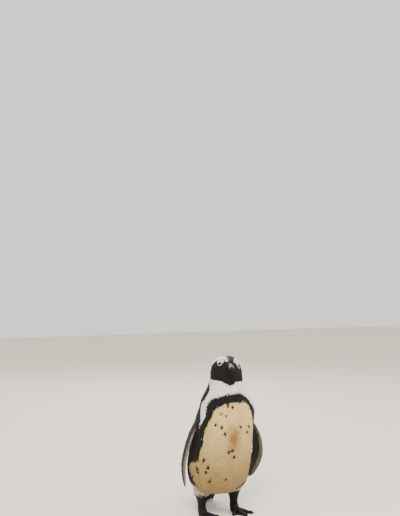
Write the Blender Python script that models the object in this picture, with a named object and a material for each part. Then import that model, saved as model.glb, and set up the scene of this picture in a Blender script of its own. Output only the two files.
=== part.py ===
"""An African penguin (Spheniscus demersus) standing at rest, as a life-size still model.

The bird faces -Y, its left side is +X, and it stands on the floor plane Z = 0. The body, neck
and head are one lofted skin that is parted with thin cuts; flippers, legs and tail are lofts cut
back to that skin, and the feet, claws, bill and eyes are separate bodies. All sizes are in metres.
"""

import math

import bmesh
import bpy
from mathutils import Matrix, Vector

# ---- Driving sizes -------------------------------------------------------------------------
# The bird stands 0.48 m from floor to crown with its neck drawn in.
GAP = 0.0003                 # clearance between neighbouring bodies
RING_POINTS = 32             # points round each section of the body
STEPS_BETWEEN_SECTIONS = 2   # rings made for each section that is named below
BODY_FULLNESS = 2.15         # exponent of the body's oval sections, 2 is a true ellipse
HEAD_FULLNESS = 2.45         # the skull is a little boxier than the body
ROUND = 2.0                  # exponent of a true ellipse

# ---- Head ----------------------------------------------------------------------------------
EYE_LINE = Vector((0.0066, -0.0480, 0.4530))   # middle of the head, level with both eyes
HEAD_TURN = math.radians(-18)                  # looks to its own right
HEAD_PITCH = math.radians(-4)                  # bill lifted a little
HEAD_ROLL = math.radians(8)                    # left side of the head lower
EYE_RADIUS = 0.0085
EYE_PLACE = Vector((0.0318, -0.0020, 0.0005))   # cornea of the left eye: left, back, up
EYE_AIM = Vector((0.84, -0.53, 0.12))           # the left eye looks outwards and a little forward
BILL_TIP = 0.0760                              # tip of the hook, forward of the eyes
BILL_ROOT = 0.0130                             # hidden root of the bill, forward of the eyes
BILL_POINTS = 11             # points over the arch of a bill half
BILL_FULLNESS = 2.2
GAPE_AT_ROOT = -0.0020       # height of the gape at the bill's root, from the eyes
GAPE_SLOPE = -0.060          # the gape drops a little towards the tip
CREST_AT_ROOT = 0.0104       # height of the bill's ridge at the root, from the eyes
CREST_FALL = 0.0068          # even fall of the ridge from root to tip
CREST_CURL = 0.0108          # further fall, nearly all of it at the hook
UPPER_HALF_WIDTH = 0.0106
UPPER_TIP_HALF_WIDTH = 0.0012
LEAST_BILL_DEPTH = 0.0015
HOOK_LENGTH = 0.0080
HOOK_DROP = 0.0060
CHIN_DEPTH = 0.0104          # depth of the lower half at its root
CHIN_RISE = 0.0042           # even loss of depth towards the tip
CHIN_CURL = 0.0030           # further loss close to the tip
LOWER_HALF_WIDTH = 0.0096
LOWER_TIP_HALF_WIDTH = 0.0020
SHAFT_STEPS = 10
HOOK_STEPS = 4
LOWER_STEPS = 9
EYE_SEGMENTS = 14
EYE_BELTS = 9

# ---- Cuts between head, neck and trunk ---------------------------------------------------------
HEAD_CUT = Vector((0.010, -0.018, 0.4085))
HEAD_CUT_SLOPE = math.radians(7)
NECK_CUT = Vector((0.012, -0.010, 0.3470))

# ---- Flippers ------------------------------------------------------------------------------
FLIPPER_CHORD = 0.056
FLIPPER_THICKNESS = 0.0120
FLIPPER_RINGS = 15
FLIPPER_POINTS = 14
FLIPPER_FULLNESS = 1.9       # exponent of the blade's sections
SHOULDER_SHARE = 0.62        # chord at the shoulder, as a share of the widest
WIDEST_AT = 0.40             # share of the length from which the blade is widest
TIP_FROM = 0.72              # share of the length at which the tip starts to round off
TIP_END = 1.005              # where the rounding would close, just past the last ring
TIP_ROUNDNESS = 2.2          # exponent of the rounded tip
TIP_THICKNESS_SHARE = 0.35   # share of the thickness that rounding the tip leaves
TIP_THINNING = 0.52          # share of the thickness lost by the tip
EDGE_THINNING = 0.38         # the trailing edge is thinner than the leading one
TIP_SWEEP = 0.006            # how far the tip is swept back
LOOK_ALONG = 0.05            # step along the bone line for its direction
# shoulder, elbow, wrist and tip of each flipper, then the way its leading edge faces
FLIPPER_LEFT = (
    (
        Vector((0.066, 0.006, 0.318)),
        Vector((0.120, 0.004, 0.240)),
        Vector((0.1370, 0.015, 0.165)),
        Vector((0.1175, 0.045, 0.089)),
    ),
    Vector((0.16, -1, 0)),
)
FLIPPER_RIGHT = (
    (
        Vector((-0.050, 0.010, 0.322)),
        Vector((-0.0950, 0.010, 0.240)),
        Vector((-0.1130, 0.017, 0.160)),
        Vector((-0.1000, 0.040, 0.083)),
    ),
    Vector((-0.17, -1, 0)),
)

# ---- Legs, feet and claws ------------------------------------------------------------------
LEG_POINTS = 16
ANKLE_HEIGHT = 0.0240
LEG_LEFT = Vector((0.0520, 0.0130, 0.0))
LEG_RIGHT = Vector((-0.0575, 0.0080, 0.0))
FOOT_TURN_LEFT = math.radians(7)
FOOT_TURN_RIGHT = math.radians(-12)
SOLE_CUT = 0.0008            # toe pads are flattened by this much where they meet the floor
LEG_SECTIONS = (
    # height, half width, half depth, backward shift: feathered thigh to bare shank
    (0.1000, 0.0150, 0.0200, 0.004),
    (0.0800, 0.0245, 0.0290, 0.003),
    (0.0650, 0.0235, 0.0255, 0.002),
    (0.0540, 0.0180, 0.0200, 0.001),
    (0.0440, 0.0145, 0.0160, 0.000),
    (0.0340, 0.0128, 0.0138, 0.000),
    (ANKLE_HEIGHT + GAP, 0.0126, 0.0138, 0.000),
)
HEEL_SECTIONS = (
    # height, half width, half depth, forward shift: ankle down to the pad under it
    (ANKLE_HEIGHT, 0.0126, 0.0138, 0.000),
    (0.0175, 0.0132, 0.0165, 0.003),
    (0.0100, 0.0132, 0.0180, 0.005),
    (0.0030, 0.0122, 0.0165, 0.006),
    (-SOLE_CUT, 0.0105, 0.0145, 0.006),
)
TOE_SPREAD = math.radians(30)
TOES = (
    # name, turn in toe spreads (+ is outwards), length to the claw, half width at the root
    ("inner", -1.1, 0.0530, 0.0080),
    ("middle", 0.0, 0.0700, 0.0088),
    ("outer", 0.95, 0.0640, 0.0082),
)
TOE_POINTS = 12
TOE_STEPS = 9
TOE_FULLNESS = 2.3
TOE_TAPER = 0.38             # share of a toe's width lost by its claw
KNUCKLE_SWELL = 0.09         # swelling of the two toe joints, as a share of the width
KNUCKLE_RISE = 0.0006        # and their rise above the toe's line
INSTEP_HEIGHT = 0.0190       # height of a toe where it leaves the ankle
TOE_HEIGHT = 0.0095          # height of a toe at its claw
WEB_THICKNESS = 0.0026
WEB_LIFT = 0.0008
WEB_HEEL = 0.006             # the web starts this far behind the ankle's middle
WEB_REACH = 0.93             # share of each toe that the web runs along
WEB_HOLLOW = 0.11            # inward bow of the web's edge, as a share of the toes' length
WEB_ARC_POINTS = 7
HIND_TOE_TURN = math.radians(-62)
HIND_TOE_ROOT = (0.0060, 0.0130)   # distance from the ankle's middle, and height
HIND_TOE_END = (0.0190, 0.0085)
HIND_TOE_RADIUS = 0.0048
HIND_TOE_TAPER = 0.0014
CLAW_POINTS = 10
CLAW_RINGS = 5
CLAW_HEIGHT = 0.0040         # height of a front claw's root
CLAW_SWEEP = 0.35            # share of a quarter turn that the claw's curve leaves out
CLAW_FLATNESS = 0.85         # width over depth
CLAW_TIP_SHARE = 0.1         # width of the blunt point, as a share of the root's
CLAW_TIP_TURN = 0.45         # how far the point turns down
FRONT_CLAW = (0.0030, 0.0150, 0.0015)   # radius at the root, length, drop of the point
HIND_CLAW = (0.0023, 0.0085, 0.0022)

# ---- Tail ----------------------------------------------------------------------------------
TAIL_POINTS = 20
TAIL_FULLNESS = 2.2
TAIL_SECTIONS = (
    # place of the middle, half width, half thickness
    (Vector((-0.004, 0.030, 0.1260)), 0.044, 0.0300),
    (Vector((-0.002, 0.058, 0.1010)), 0.045, 0.0275),
    (Vector((0.002, 0.084, 0.0730)), 0.041, 0.0200),
    (Vector((0.007, 0.108, 0.0440)), 0.036, 0.0120),
    (Vector((0.012, 0.128, 0.0185)), 0.031, 0.0060),
    (Vector((0.016, 0.141, 0.0055)), 0.023, 0.0032),
    (Vector((0.0175, 0.1475, 0.0005)), 0.010, 0.0018),
)

FORWARD = Vector((0, -1, 0))
LEFT = Vector((1, 0, 0))
UP = Vector((0, 0, 1))

HEAD_FRAME = (
    Matrix.Translation(EYE_LINE)
    @ Matrix.Rotation(HEAD_TURN, 4, "Z")
    @ Matrix.Rotation(HEAD_PITCH, 4, "X")
    @ Matrix.Rotation(HEAD_ROLL, 4, "Y")
)

# Body sections, vent to throat: (height, y) on the breast, (height, y) on the back,
# half width, and how far the section's middle stands to the bird's left.
BODY_SECTIONS = (
    ((0.0680, -0.010), (0.0670, 0.048), 0.034, -0.009),   # vent
    ((0.0740, -0.044), (0.0750, 0.068), 0.059, -0.009),
    ((0.0880, -0.074), (0.0910, 0.081), 0.0765, -0.009),  # between the thighs
    ((0.1120, -0.092), (0.1160, 0.088), 0.0880, -0.010),
    ((0.1500, -0.102), (0.1550, 0.091), 0.0935, -0.009),  # widest belly
    ((0.1980, -0.104), (0.2030, 0.088), 0.0925, -0.003),
    ((0.2480, -0.101), (0.2530, 0.081), 0.0895, 0.004),
    ((0.2900, -0.095), (0.2960, 0.072), 0.0890, 0.0105),   # breast
    ((0.3200, -0.088), (0.3260, 0.064), 0.0855, 0.0172),   # shoulders
    ((0.3430, -0.080), (0.3490, 0.056), 0.0810, 0.0175),
    ((0.3640, -0.075), (0.3730, 0.048), 0.0650, 0.0140),   # neck
    ((0.3840, -0.070), (0.3950, 0.040), 0.0545, 0.0135),
    ((0.4010, -0.066), (0.4140, 0.030), 0.0515, 0.0120),   # drawn-in throat
)

# Head sections, throat to bill: (forward, up) of the eyes on the throat side, the same on the
# crown side, half width, and how far the section's middle stands to the bird's left.
HEAD_SECTIONS = (
    ((0.0165, -0.0410), (-0.0620, -0.0180), 0.0505, -0.001),  # nape
    ((0.0145, -0.0330), (-0.0580, 0.0020), 0.0490, -0.003),
    ((0.0150, -0.0265), (-0.0490, 0.0180), 0.0468, -0.004),   # back of the skull
    ((0.0165, -0.0215), (-0.0360, 0.0275), 0.0395, -0.003),
    ((0.0180, -0.0180), (-0.0215, 0.0300), 0.0285, -0.001),   # crown
    ((0.0195, -0.0160), (-0.0080, 0.0272), 0.0235, 0.0),      # eyes
    ((0.0208, -0.0145), (0.0040, 0.0222), 0.0190, 0.0),
    ((0.0218, -0.0135), (0.0140, 0.0165), 0.0155, 0.0),       # lores
    ((0.0225, -0.0125), (0.0205, 0.0120), 0.0118, 0.0),       # bill root
)


# ---- Helpers -------------------------------------------------------------------------------
def clear_scene() -> None:
    """Remove whatever the scene starts with."""
    for item in list(bpy.data.objects):
        bpy.data.objects.remove(item, do_unlink=True)


def make_material(name, colour, roughness, metallic=0.0):
    """A Principled material with a plain colour."""
    material = bpy.data.materials.new(name)
    material.use_nodes = True
    shader = material.node_tree.nodes["Principled BSDF"]
    shader.inputs["Base Color"].default_value = (*colour, 1.0)
    shader.inputs["Roughness"].default_value = roughness
    shader.inputs["Metallic"].default_value = metallic
    material.diffuse_color = (*colour, 1.0)
    return material


def mesh_object(name, mesh_data, material=None):
    """Turn a bmesh into a scene object with outward faces."""
    bmesh.ops.recalc_face_normals(mesh_data, faces=mesh_data.faces)
    mesh = bpy.data.meshes.new(name)
    mesh_data.to_mesh(mesh)
    mesh_data.free()
    item = bpy.data.objects.new(name, mesh)
    bpy.context.scene.collection.objects.link(item)
    if material is not None:
        mesh.materials.append(material)
    return item


def loft(rings):
    """Skin a run of rings that have the same number of points, with flat ends."""
    skin = bmesh.new()
    rows = [[skin.verts.new(point) for point in ring] for ring in rings]
    count = len(rows[0])
    for lower, upper in zip(rows, rows[1:]):
        for j in range(count):
            k = (j + 1) % count
            skin.faces.new((lower[j], lower[k], upper[k], upper[j]))
    skin.faces.new(list(reversed(rows[0])))
    skin.faces.new(rows[-1])
    bmesh.ops.recalc_face_normals(skin, faces=skin.faces)
    return skin


def superellipse(angle, fullness):
    """Unit point of an oval whose exponent is `fullness`."""
    c, s = math.cos(angle), math.sin(angle)
    power = 2 / fullness
    return (math.copysign(abs(c) ** power, c), math.copysign(abs(s) ** power, s))


def section_ring(front, back, side, half_width, fullness, count=RING_POINTS):
    """Oval ring through a front and a back point, `half_width` to each side."""
    middle = (front + back) / 2
    half_depth = (back - front) / 2
    ring = []
    for j in range(count):
        a, b = superellipse(2 * math.pi * j / count, fullness)
        ring.append(middle + side * (half_width * a) + half_depth * b)
    return ring


def smooth_between(values, t):
    """Catmull-Rom value at `t`, where whole numbers are the given values."""
    last = len(values) - 1
    i = min(int(t), last - 1)
    s = t - i
    before, start, end, after = (
        values[max(i - 1, 0)], values[i], values[i + 1], values[min(i + 2, last)]
    )
    return (
        start * 2
        + (end - before) * s
        + (before * 2 - start * 5 + end * 4 - after) * s ** 2
        + (start * 3 - before - end * 3 + after) * s ** 3
    ) * 0.5


def densify(rings, steps):
    """More rings along smooth lines through the given ones."""
    count = len(rings[0])
    total = (len(rings) - 1) * steps
    lines = [[ring[j] for ring in rings] for j in range(count)]
    return [[smooth_between(line, i / steps) for line in lines] for i in range(total + 1)]


def apply_boolean(target, tool, operation, keep_tool=False):
    """Combine two closed bodies and keep the result in `target`."""
    modifier = target.modifiers.new(operation.title(), "BOOLEAN")
    modifier.solver = "EXACT"
    modifier.operation = operation
    modifier.object = tool
    graph = bpy.context.evaluated_depsgraph_get()
    result = bpy.data.meshes.new_from_object(target.evaluated_get(graph))
    target.modifiers.clear()
    old = target.data
    target.data = result
    bpy.data.meshes.remove(old)
    if not keep_tool:
        bpy.data.objects.remove(tool, do_unlink=True)


def grown_copy(source, amount, name):
    """A cutter: the body's skin moved outwards by `amount`."""
    skin = bmesh.new()
    skin.from_mesh(source.data)
    skin.normal_update()
    for vert, normal in [(v, v.normal.copy()) for v in skin.verts]:
        vert.co += normal * amount
    return mesh_object(name, skin)


def keep_side(skin, point, normal):
    """Cut a closed skin with a plane, keep the side the normal points away from, and close it."""
    everything = skin.verts[:] + skin.edges[:] + skin.faces[:]
    cut = bmesh.ops.bisect_plane(
        skin, geom=everything, plane_co=point, plane_no=normal, clear_outer=True
    )
    rim = [e for e in cut["geom_cut"] if isinstance(e, bmesh.types.BMEdge)]
    bmesh.ops.edgeloop_fill(skin, edges=rim)


def shade(item, angle=math.radians(50)):
    """Smooth shading with sharp rims kept."""
    item.data.shade_smooth()
    item.data.set_sharp_from_angle(angle=angle)


def head_point(left, forward, up):
    """World place of a point given from the middle of the head."""
    return HEAD_FRAME @ Vector((left, -forward, up))


def head_direction(vector):
    """World direction of a direction in the head's frame."""
    return HEAD_FRAME.to_3x3() @ vector


# ---- Trunk, neck and head ------------------------------------------------------------------
def body_rings():
    """Sections of the whole bird, vent to bill root."""
    rings = []
    for (low, front_y), (high, back_y), half_width, shift in BODY_SECTIONS:
        front = Vector((shift, front_y, low))
        back = Vector((shift, back_y, high))
        rings.append(section_ring(front, back, LEFT, half_width, BODY_FULLNESS))
    side = head_direction(LEFT)
    for (throat_f, throat_u), (crown_f, crown_u), half_width, shift in HEAD_SECTIONS:
        front = head_point(shift, throat_f, throat_u)
        back = head_point(shift, crown_f, crown_u)
        rings.append(section_ring(front, back, side, half_width, HEAD_FULLNESS))
    return densify(rings, STEPS_BETWEEN_SECTIONS)


def make_body(materials):
    """Loft the bird whole and part it into trunk, neck and head."""
    whole = loft(body_rings())
    head_normal = Matrix.Rotation(HEAD_CUT_SLOPE, 3, "X") @ UP
    cuts = {
        "trunk": [(NECK_CUT - UP * GAP / 2, UP)],
        "neck": [(NECK_CUT + UP * GAP / 2, -UP), (HEAD_CUT - head_normal * GAP / 2, head_normal)],
        "head": [(HEAD_CUT + head_normal * GAP / 2, -head_normal)],
    }
    parts = {}
    for name, planes in cuts.items():
        skin = whole.copy()
        for point, normal in planes:
            keep_side(skin, point, normal)
        parts[name] = mesh_object(name, skin, materials[name])
    cutter = mesh_object("body_clearance", whole)
    clearance = grown_copy(cutter, GAP, "body_clearance_grown")
    bpy.data.objects.remove(cutter, do_unlink=True)
    return parts, clearance


# ---- Eyes and bill -------------------------------------------------------------------------
def make_eye(name, sign, head, material):
    """An eyeball in its socket; only its cap shows."""
    mirror = Vector((sign, 1, 1))
    aim = head_direction(EYE_AIM * mirror).normalized()
    centre = HEAD_FRAME @ (EYE_PLACE * mirror) - aim * EYE_RADIUS
    turn = UP.rotation_difference(aim).to_matrix().to_4x4()
    for label, radius in (("socket", EYE_RADIUS + GAP), (name, EYE_RADIUS)):
        ball = bmesh.new()
        bmesh.ops.create_uvsphere(
            ball, u_segments=EYE_SEGMENTS, v_segments=EYE_BELTS, radius=radius
        )
        bmesh.ops.transform(ball, matrix=Matrix.Translation(centre) @ turn, verts=ball.verts)
        item = mesh_object(label, ball, material)
        if label == "socket":
            apply_boolean(head, item, "DIFFERENCE")
    shade(item)


def bill_ring(forward, edge, crest, half_width):
    """Upright section of a bill half: flat along the gape, arched to its crest."""
    ring = []
    for j in range(BILL_POINTS):
        a, b = superellipse(math.pi * j / (BILL_POINTS - 1), BILL_FULLNESS)
        ring.append(head_point(half_width * a, forward, edge + (crest - edge) * b))
    return ring


def gape_height(forward):
    """Line where the two bill halves meet, dropping a little towards the tip."""
    return GAPE_AT_ROOT + GAPE_SLOPE * (forward - BILL_ROOT)


def upper_bill_rings():
    """Deep at the root, arched, and ending in a short hook that overhangs the lower half."""
    hook_start = BILL_TIP - HOOK_LENGTH
    shaft = hook_start - BILL_ROOT
    places = [BILL_ROOT + shaft * i / SHAFT_STEPS for i in range(SHAFT_STEPS)]
    places += [hook_start + HOOK_LENGTH * i / HOOK_STEPS for i in range(HOOK_STEPS + 1)]
    rings = []
    for forward in places:
        t = (forward - BILL_ROOT) / (BILL_TIP - BILL_ROOT)
        crest = CREST_AT_ROOT - CREST_FALL * t - CREST_CURL * t ** 5
        past = max(0.0, (forward - hook_start) / HOOK_LENGTH)
        edge = gape_height(forward) - HOOK_DROP * past ** 0.7
        half_width = UPPER_HALF_WIDTH * max(0.0, 1 - t) ** 0.55 + UPPER_TIP_HALF_WIDTH
        rings.append(bill_ring(forward, edge, max(crest, edge + LEAST_BILL_DEPTH), half_width))
    return rings


def lower_bill_rings():
    """Shallower half with a blunt end that stops behind the hook."""
    tip = BILL_TIP - HOOK_LENGTH - GAP
    rings = []
    for i in range(LOWER_STEPS + 1):
        t = i / LOWER_STEPS
        forward = BILL_ROOT + (tip - BILL_ROOT) * t
        edge = gape_height(forward) - GAP
        crest = edge - (CHIN_DEPTH - CHIN_RISE * t - CHIN_CURL * t ** 4)
        half_width = LOWER_HALF_WIDTH * (1 - t) ** 0.45 + LOWER_TIP_HALF_WIDTH
        rings.append(bill_ring(forward, edge, crest, half_width))
    return rings


def make_bill(head, materials):
    """Both bill halves, each in its own socket of the head."""
    for name, rings in (("bill_upper", upper_bill_rings()), ("bill_lower", lower_bill_rings())):
        half = mesh_object(name, loft(rings), materials["bill"])
        apply_boolean(head, grown_copy(half, GAP, "bill_socket"), "DIFFERENCE")
        shade(half)


# ---- Flippers ------------------------------------------------------------------------------
def flipper_rings(path, chord_direction):
    """Blade sections along a bowed line, leading edge in front and the tip swept back."""
    rings = []
    last = len(path) - 1
    for i in range(FLIPPER_RINGS):
        t = i / (FLIPPER_RINGS - 1)
        s = last * t
        place = smooth_between(path, s)
        ahead = smooth_between(path, min(s + LOOK_ALONG, last))
        behind = smooth_between(path, max(s - LOOK_ALONG, 0.0))
        along = (ahead - behind).normalized()
        chord = (chord_direction - along * chord_direction.dot(along)).normalized()
        thick = along.cross(chord).normalized()
        bulge = math.sin(math.pi / 2 * min(1.0, t / WIDEST_AT))
        belly = SHOULDER_SHARE + (1 - SHOULDER_SHARE) * bulge
        past = max(0.0, (t - TIP_FROM) / (TIP_END - TIP_FROM))
        round_tip = math.sqrt(1 - past ** TIP_ROUNDNESS)
        width = FLIPPER_CHORD * belly * round_tip / 2
        thin_tip = TIP_THICKNESS_SHARE + (1 - TIP_THICKNESS_SHARE) * round_tip
        height = FLIPPER_THICKNESS * (1 - TIP_THINNING * t) * thin_tip / 2
        swept = place - chord * (TIP_SWEEP * t ** 2)
        ring = []
        for j in range(FLIPPER_POINTS):
            a, b = superellipse(2 * math.pi * j / FLIPPER_POINTS, FLIPPER_FULLNESS)
            taper = 1 - EDGE_THINNING * (1 - a)
            ring.append(swept + chord * (width * a) + thick * (height * b * taper))
        rings.append(ring)
    return rings


def make_flipper(name, pose, clearance, material):
    """A flipper hanging from the shoulder, cut back to the body's side."""
    places, chord_direction = pose
    blade = mesh_object(name, loft(flipper_rings(places, chord_direction)), material)
    apply_boolean(blade, clearance, "DIFFERENCE", keep_tool=True)
    shade(blade)


# ---- Tail ----------------------------------------------------------------------------------
def make_tail(clearance, material):
    """A short stiff wedge whose tip is laid on the floor behind the feet."""
    places = [row[0] for row in TAIL_SECTIONS]
    rings = []
    for i, (place, half_width, half_thickness) in enumerate(TAIL_SECTIONS):
        ahead = places[min(i + 1, len(places) - 1)]
        behind = places[max(i - 1, 0)]
        along = (ahead - behind).normalized()
        rise = LEFT.cross(along).normalized()
        front = place - rise * half_thickness
        back = place + rise * half_thickness
        rings.append(section_ring(front, back, LEFT, half_width, TAIL_FULLNESS, TAIL_POINTS))
    skin = loft(densify(rings, STEPS_BETWEEN_SECTIONS))
    keep_side(skin, Vector((0, 0, 0)), -UP)
    tail = mesh_object("tail", skin, material)
    apply_boolean(tail, clearance, "DIFFERENCE", keep_tool=True)
    shade(tail)


# ---- Legs, feet and claws ------------------------------------------------------------------
def make_leg(name, place, clearance, material):
    """Thigh feathers narrowing to the short shank."""
    rings = []
    for height, half_width, half_depth, shift in LEG_SECTIONS:
        middle = place + UP * height - FORWARD * shift
        front = middle + FORWARD * half_depth
        back = middle - FORWARD * half_depth
        rings.append(section_ring(front, back, LEFT, half_width, ROUND, LEG_POINTS))
    leg = mesh_object(name, loft(rings), material)
    apply_boolean(leg, clearance, "DIFFERENCE", keep_tool=True)
    shade(leg)


def toe_ring(base, along, distance, half_width, top):
    """A section of a toe: a flat-bottomed oval that rises from just under the floor."""
    side = UP.cross(along).normalized()
    middle = base + along * distance
    low = middle - UP * SOLE_CUT
    high = middle + UP * top
    return section_ring(low, high, side, half_width, TOE_FULLNESS, TOE_POINTS)


def toe_rings(base, along, length, root_half_width):
    """Toe with two swollen joints, thinner between them."""
    rings = []
    for i in range(TOE_STEPS + 1):
        t = i / TOE_STEPS
        knuckle = math.cos(4 * math.pi * t)
        half_width = root_half_width * (1 - TOE_TAPER * t) * (1 + KNUCKLE_SWELL * knuckle)
        top = INSTEP_HEIGHT * (1 - t) ** 2 + TOE_HEIGHT * t * (2 - t) + KNUCKLE_RISE * knuckle
        rings.append(toe_ring(base, along, length * t, half_width, top))
    return rings


def web_body(base, headings, lengths):
    """Skin between the toes, its front edges curved in towards the ankle."""
    skin = bmesh.new()
    outline = [base - headings[1] * WEB_HEEL]
    for (first, second), (len_a, len_b) in zip(
        zip(headings, headings[1:]), zip(lengths, lengths[1:])
    ):
        start = base + first * len_a * WEB_REACH
        end = base + second * len_b * WEB_REACH
        hollow = WEB_HOLLOW * (len_a + len_b) / 2
        inward = -(first + second).normalized()
        for i in range(WEB_ARC_POINTS):
            t = i / (WEB_ARC_POINTS - 1)
            bow = 4 * t * (1 - t)
            outline.append(start.lerp(end, t) + inward * hollow * bow)
    loop = []
    for point in outline:
        if not loop or (loop[-1] - point).length > GAP:
            loop.append(point)
    bottom = [skin.verts.new(p + UP * WEB_LIFT) for p in loop]
    face = skin.faces.new(bottom)
    raised = bmesh.ops.extrude_face_region(skin, geom=[face])
    lifted = [v for v in raised["geom"] if isinstance(v, bmesh.types.BMVert)]
    bmesh.ops.translate(skin, verts=lifted, vec=UP * WEB_THICKNESS)
    bmesh.ops.recalc_face_normals(skin, faces=skin.faces)
    return skin


def claw_rings(start, along, size):
    """A curved cone whose point bends down."""
    radius, length, drop = size
    side = UP.cross(along).normalized()
    arc_start = math.sin(math.pi / 2 * CLAW_SWEEP)
    rings = []
    for i in range(CLAW_RINGS + 1):
        t = i / CLAW_RINGS
        reach = math.sin(math.pi / 2 * (CLAW_SWEEP + (1 - CLAW_SWEEP) * t)) - arc_start
        middle = start + along * (length * reach) - UP * (drop * t ** 2)
        scale = (1 - t) ** 0.75 * (1 - CLAW_TIP_SHARE) + CLAW_TIP_SHARE
        tilt = along.lerp(-UP, CLAW_TIP_TURN * t).normalized()
        rise = tilt.cross(side).normalized()
        if rise.z < 0:
            rise = -rise
        low = middle - rise * radius * scale
        high = middle + rise * radius * scale
        half_width = radius * CLAW_FLATNESS * scale
        rings.append(section_ring(low, high, side, half_width, ROUND, CLAW_POINTS))
    return rings


def make_claw(name, start, along, size, material):
    """One claw, clear of the floor."""
    claw = mesh_object(name, loft(claw_rings(start, along, size)), material)
    shade(claw)


def hind_toe(root, end, side):
    """The short fourth toe on the inner side of the ankle."""
    rings = []
    for t in (0.0, 0.5, 1.0):
        middle = root.lerp(end, t)
        radius = HIND_TOE_RADIUS - HIND_TOE_TAPER * t
        low = middle - UP * radius
        high = middle + UP * radius
        rings.append(section_ring(low, high, side, radius, ROUND, CLAW_POINTS))
    return mesh_object("hind_toe", loft(rings))


def make_foot(label, sign, place, turn, materials):
    """A webbed foot with three front toes and a small hind toe on its inner side."""
    heading = Matrix.Rotation(sign * turn, 3, "Z") @ FORWARD
    side = UP.cross(heading)
    heel_rings = []
    for height, half_width, half_depth, ahead in HEEL_SECTIONS:
        middle = place + UP * height + heading * ahead
        low = middle + heading * half_depth
        high = middle - heading * half_depth
        heel_rings.append(section_ring(low, high, side, half_width, ROUND, LEG_POINTS))
    foot = mesh_object(f"foot_{label}", loft(heel_rings), materials["foot"])
    headings = []
    lengths = []
    for toe, spread, length, half_width in TOES:
        along = Matrix.Rotation(sign * (turn + spread * TOE_SPREAD), 3, "Z") @ FORWARD
        headings.append(along)
        lengths.append(length)
        body = mesh_object("toe", loft(toe_rings(place, along, length, half_width)))
        apply_boolean(foot, body, "UNION")
        tip = place + along * (length + GAP) + UP * CLAW_HEIGHT
        make_claw(f"claw_{label}_{toe}", tip, along, FRONT_CLAW, materials["claw"])
    web = mesh_object("web", web_body(place, headings, lengths))
    apply_boolean(foot, web, "UNION")
    inner = Matrix.Rotation(sign * (turn + HIND_TOE_TURN), 3, "Z") @ FORWARD
    root, end = (place + inner * out + UP * up for out, up in (HIND_TOE_ROOT, HIND_TOE_END))
    apply_boolean(foot, hind_toe(root, end, UP.cross(inner)), "UNION")
    make_claw(f"claw_{label}_hind", end + inner * GAP, inner, HIND_CLAW, materials["claw"])
    skin = bmesh.new()
    skin.from_mesh(foot.data)
    keep_side(skin, Vector((0, 0, 0)), -UP)
    bmesh.ops.recalc_face_normals(skin, faces=skin.faces)
    skin.to_mesh(foot.data)
    skin.free()
    shade(foot)


# ---- Whole bird ----------------------------------------------------------------------------
def stand_on_origin():
    """Move every body so that the origin lies under the middle of the bird's bounding box."""
    bpy.context.view_layer.update()
    points = [item.matrix_world @ v.co for item in bpy.data.objects for v in item.data.vertices]
    low = Vector(min(p[i] for p in points) for i in range(3))
    high = Vector(max(p[i] for p in points) for i in range(3))
    shift = Vector(((low.x + high.x) / 2, (low.y + high.y) / 2, low.z))
    for item in bpy.data.objects:
        item.data.transform(Matrix.Translation(-shift))


def main():
    clear_scene()
    black = (0.012, 0.010, 0.009)
    materials = {
        "trunk": make_material("breast_feathers", (0.60, 0.47, 0.30), 0.85),
        "neck": make_material("neck_feathers", (0.78, 0.77, 0.74), 0.85),
        "head": make_material("face_feathers", black, 0.70),
        "back": make_material("dark_feathers", (0.025, 0.021, 0.019), 0.75),
        "foot": make_material("foot_skin", (0.016, 0.015, 0.017), 0.55),
        "bill": make_material("bill_horn", (0.020, 0.019, 0.018), 0.35),
        "claw": make_material("claw_horn", (0.014, 0.012, 0.011), 0.35),
        "eye": make_material("eye_ball", (0.010, 0.007, 0.006), 0.05),
    }
    parts, clearance = make_body(materials)
    make_eye("eye_left", 1, parts["head"], materials["eye"])
    make_eye("eye_right", -1, parts["head"], materials["eye"])
    make_bill(parts["head"], materials)
    make_flipper("flipper_left", FLIPPER_LEFT, clearance, materials["back"])
    make_flipper("flipper_right", FLIPPER_RIGHT, clearance, materials["back"])
    make_tail(clearance, materials["back"])
    make_leg("leg_left", LEG_LEFT, clearance, materials["foot"])
    make_leg("leg_right", LEG_RIGHT, clearance, materials["foot"])
    make_foot("left", 1, LEG_LEFT, FOOT_TURN_LEFT, materials)
    make_foot("right", -1, LEG_RIGHT, FOOT_TURN_RIGHT, materials)
    bpy.data.objects.remove(clearance, do_unlink=True)
    for item in parts.values():
        shade(item)
    stand_on_origin()


main()
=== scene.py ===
"""Looks of a standing African penguin: skin, plumage, bill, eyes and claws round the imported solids.

One skin replaces every node of flesh and lies inside it by the depth of the coat. Over it lie
the feathers, small closed vanes that follow the lie of the plumage, and the scutes of the feet.
The bill, the eyes with their lids, and the claws are pieces of their own. Lengths are in metres
unless a name or comment says millimetres.
"""

import logging
import math
from collections.abc import Callable, Iterator
from contextlib import contextmanager
from dataclasses import dataclass, field
from enum import Enum

import bpy
import numpy as np
from mathutils import Matrix, Vector
from mathutils.bvhtree import BVHTree
from mathutils.kdtree import KDTree


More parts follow.
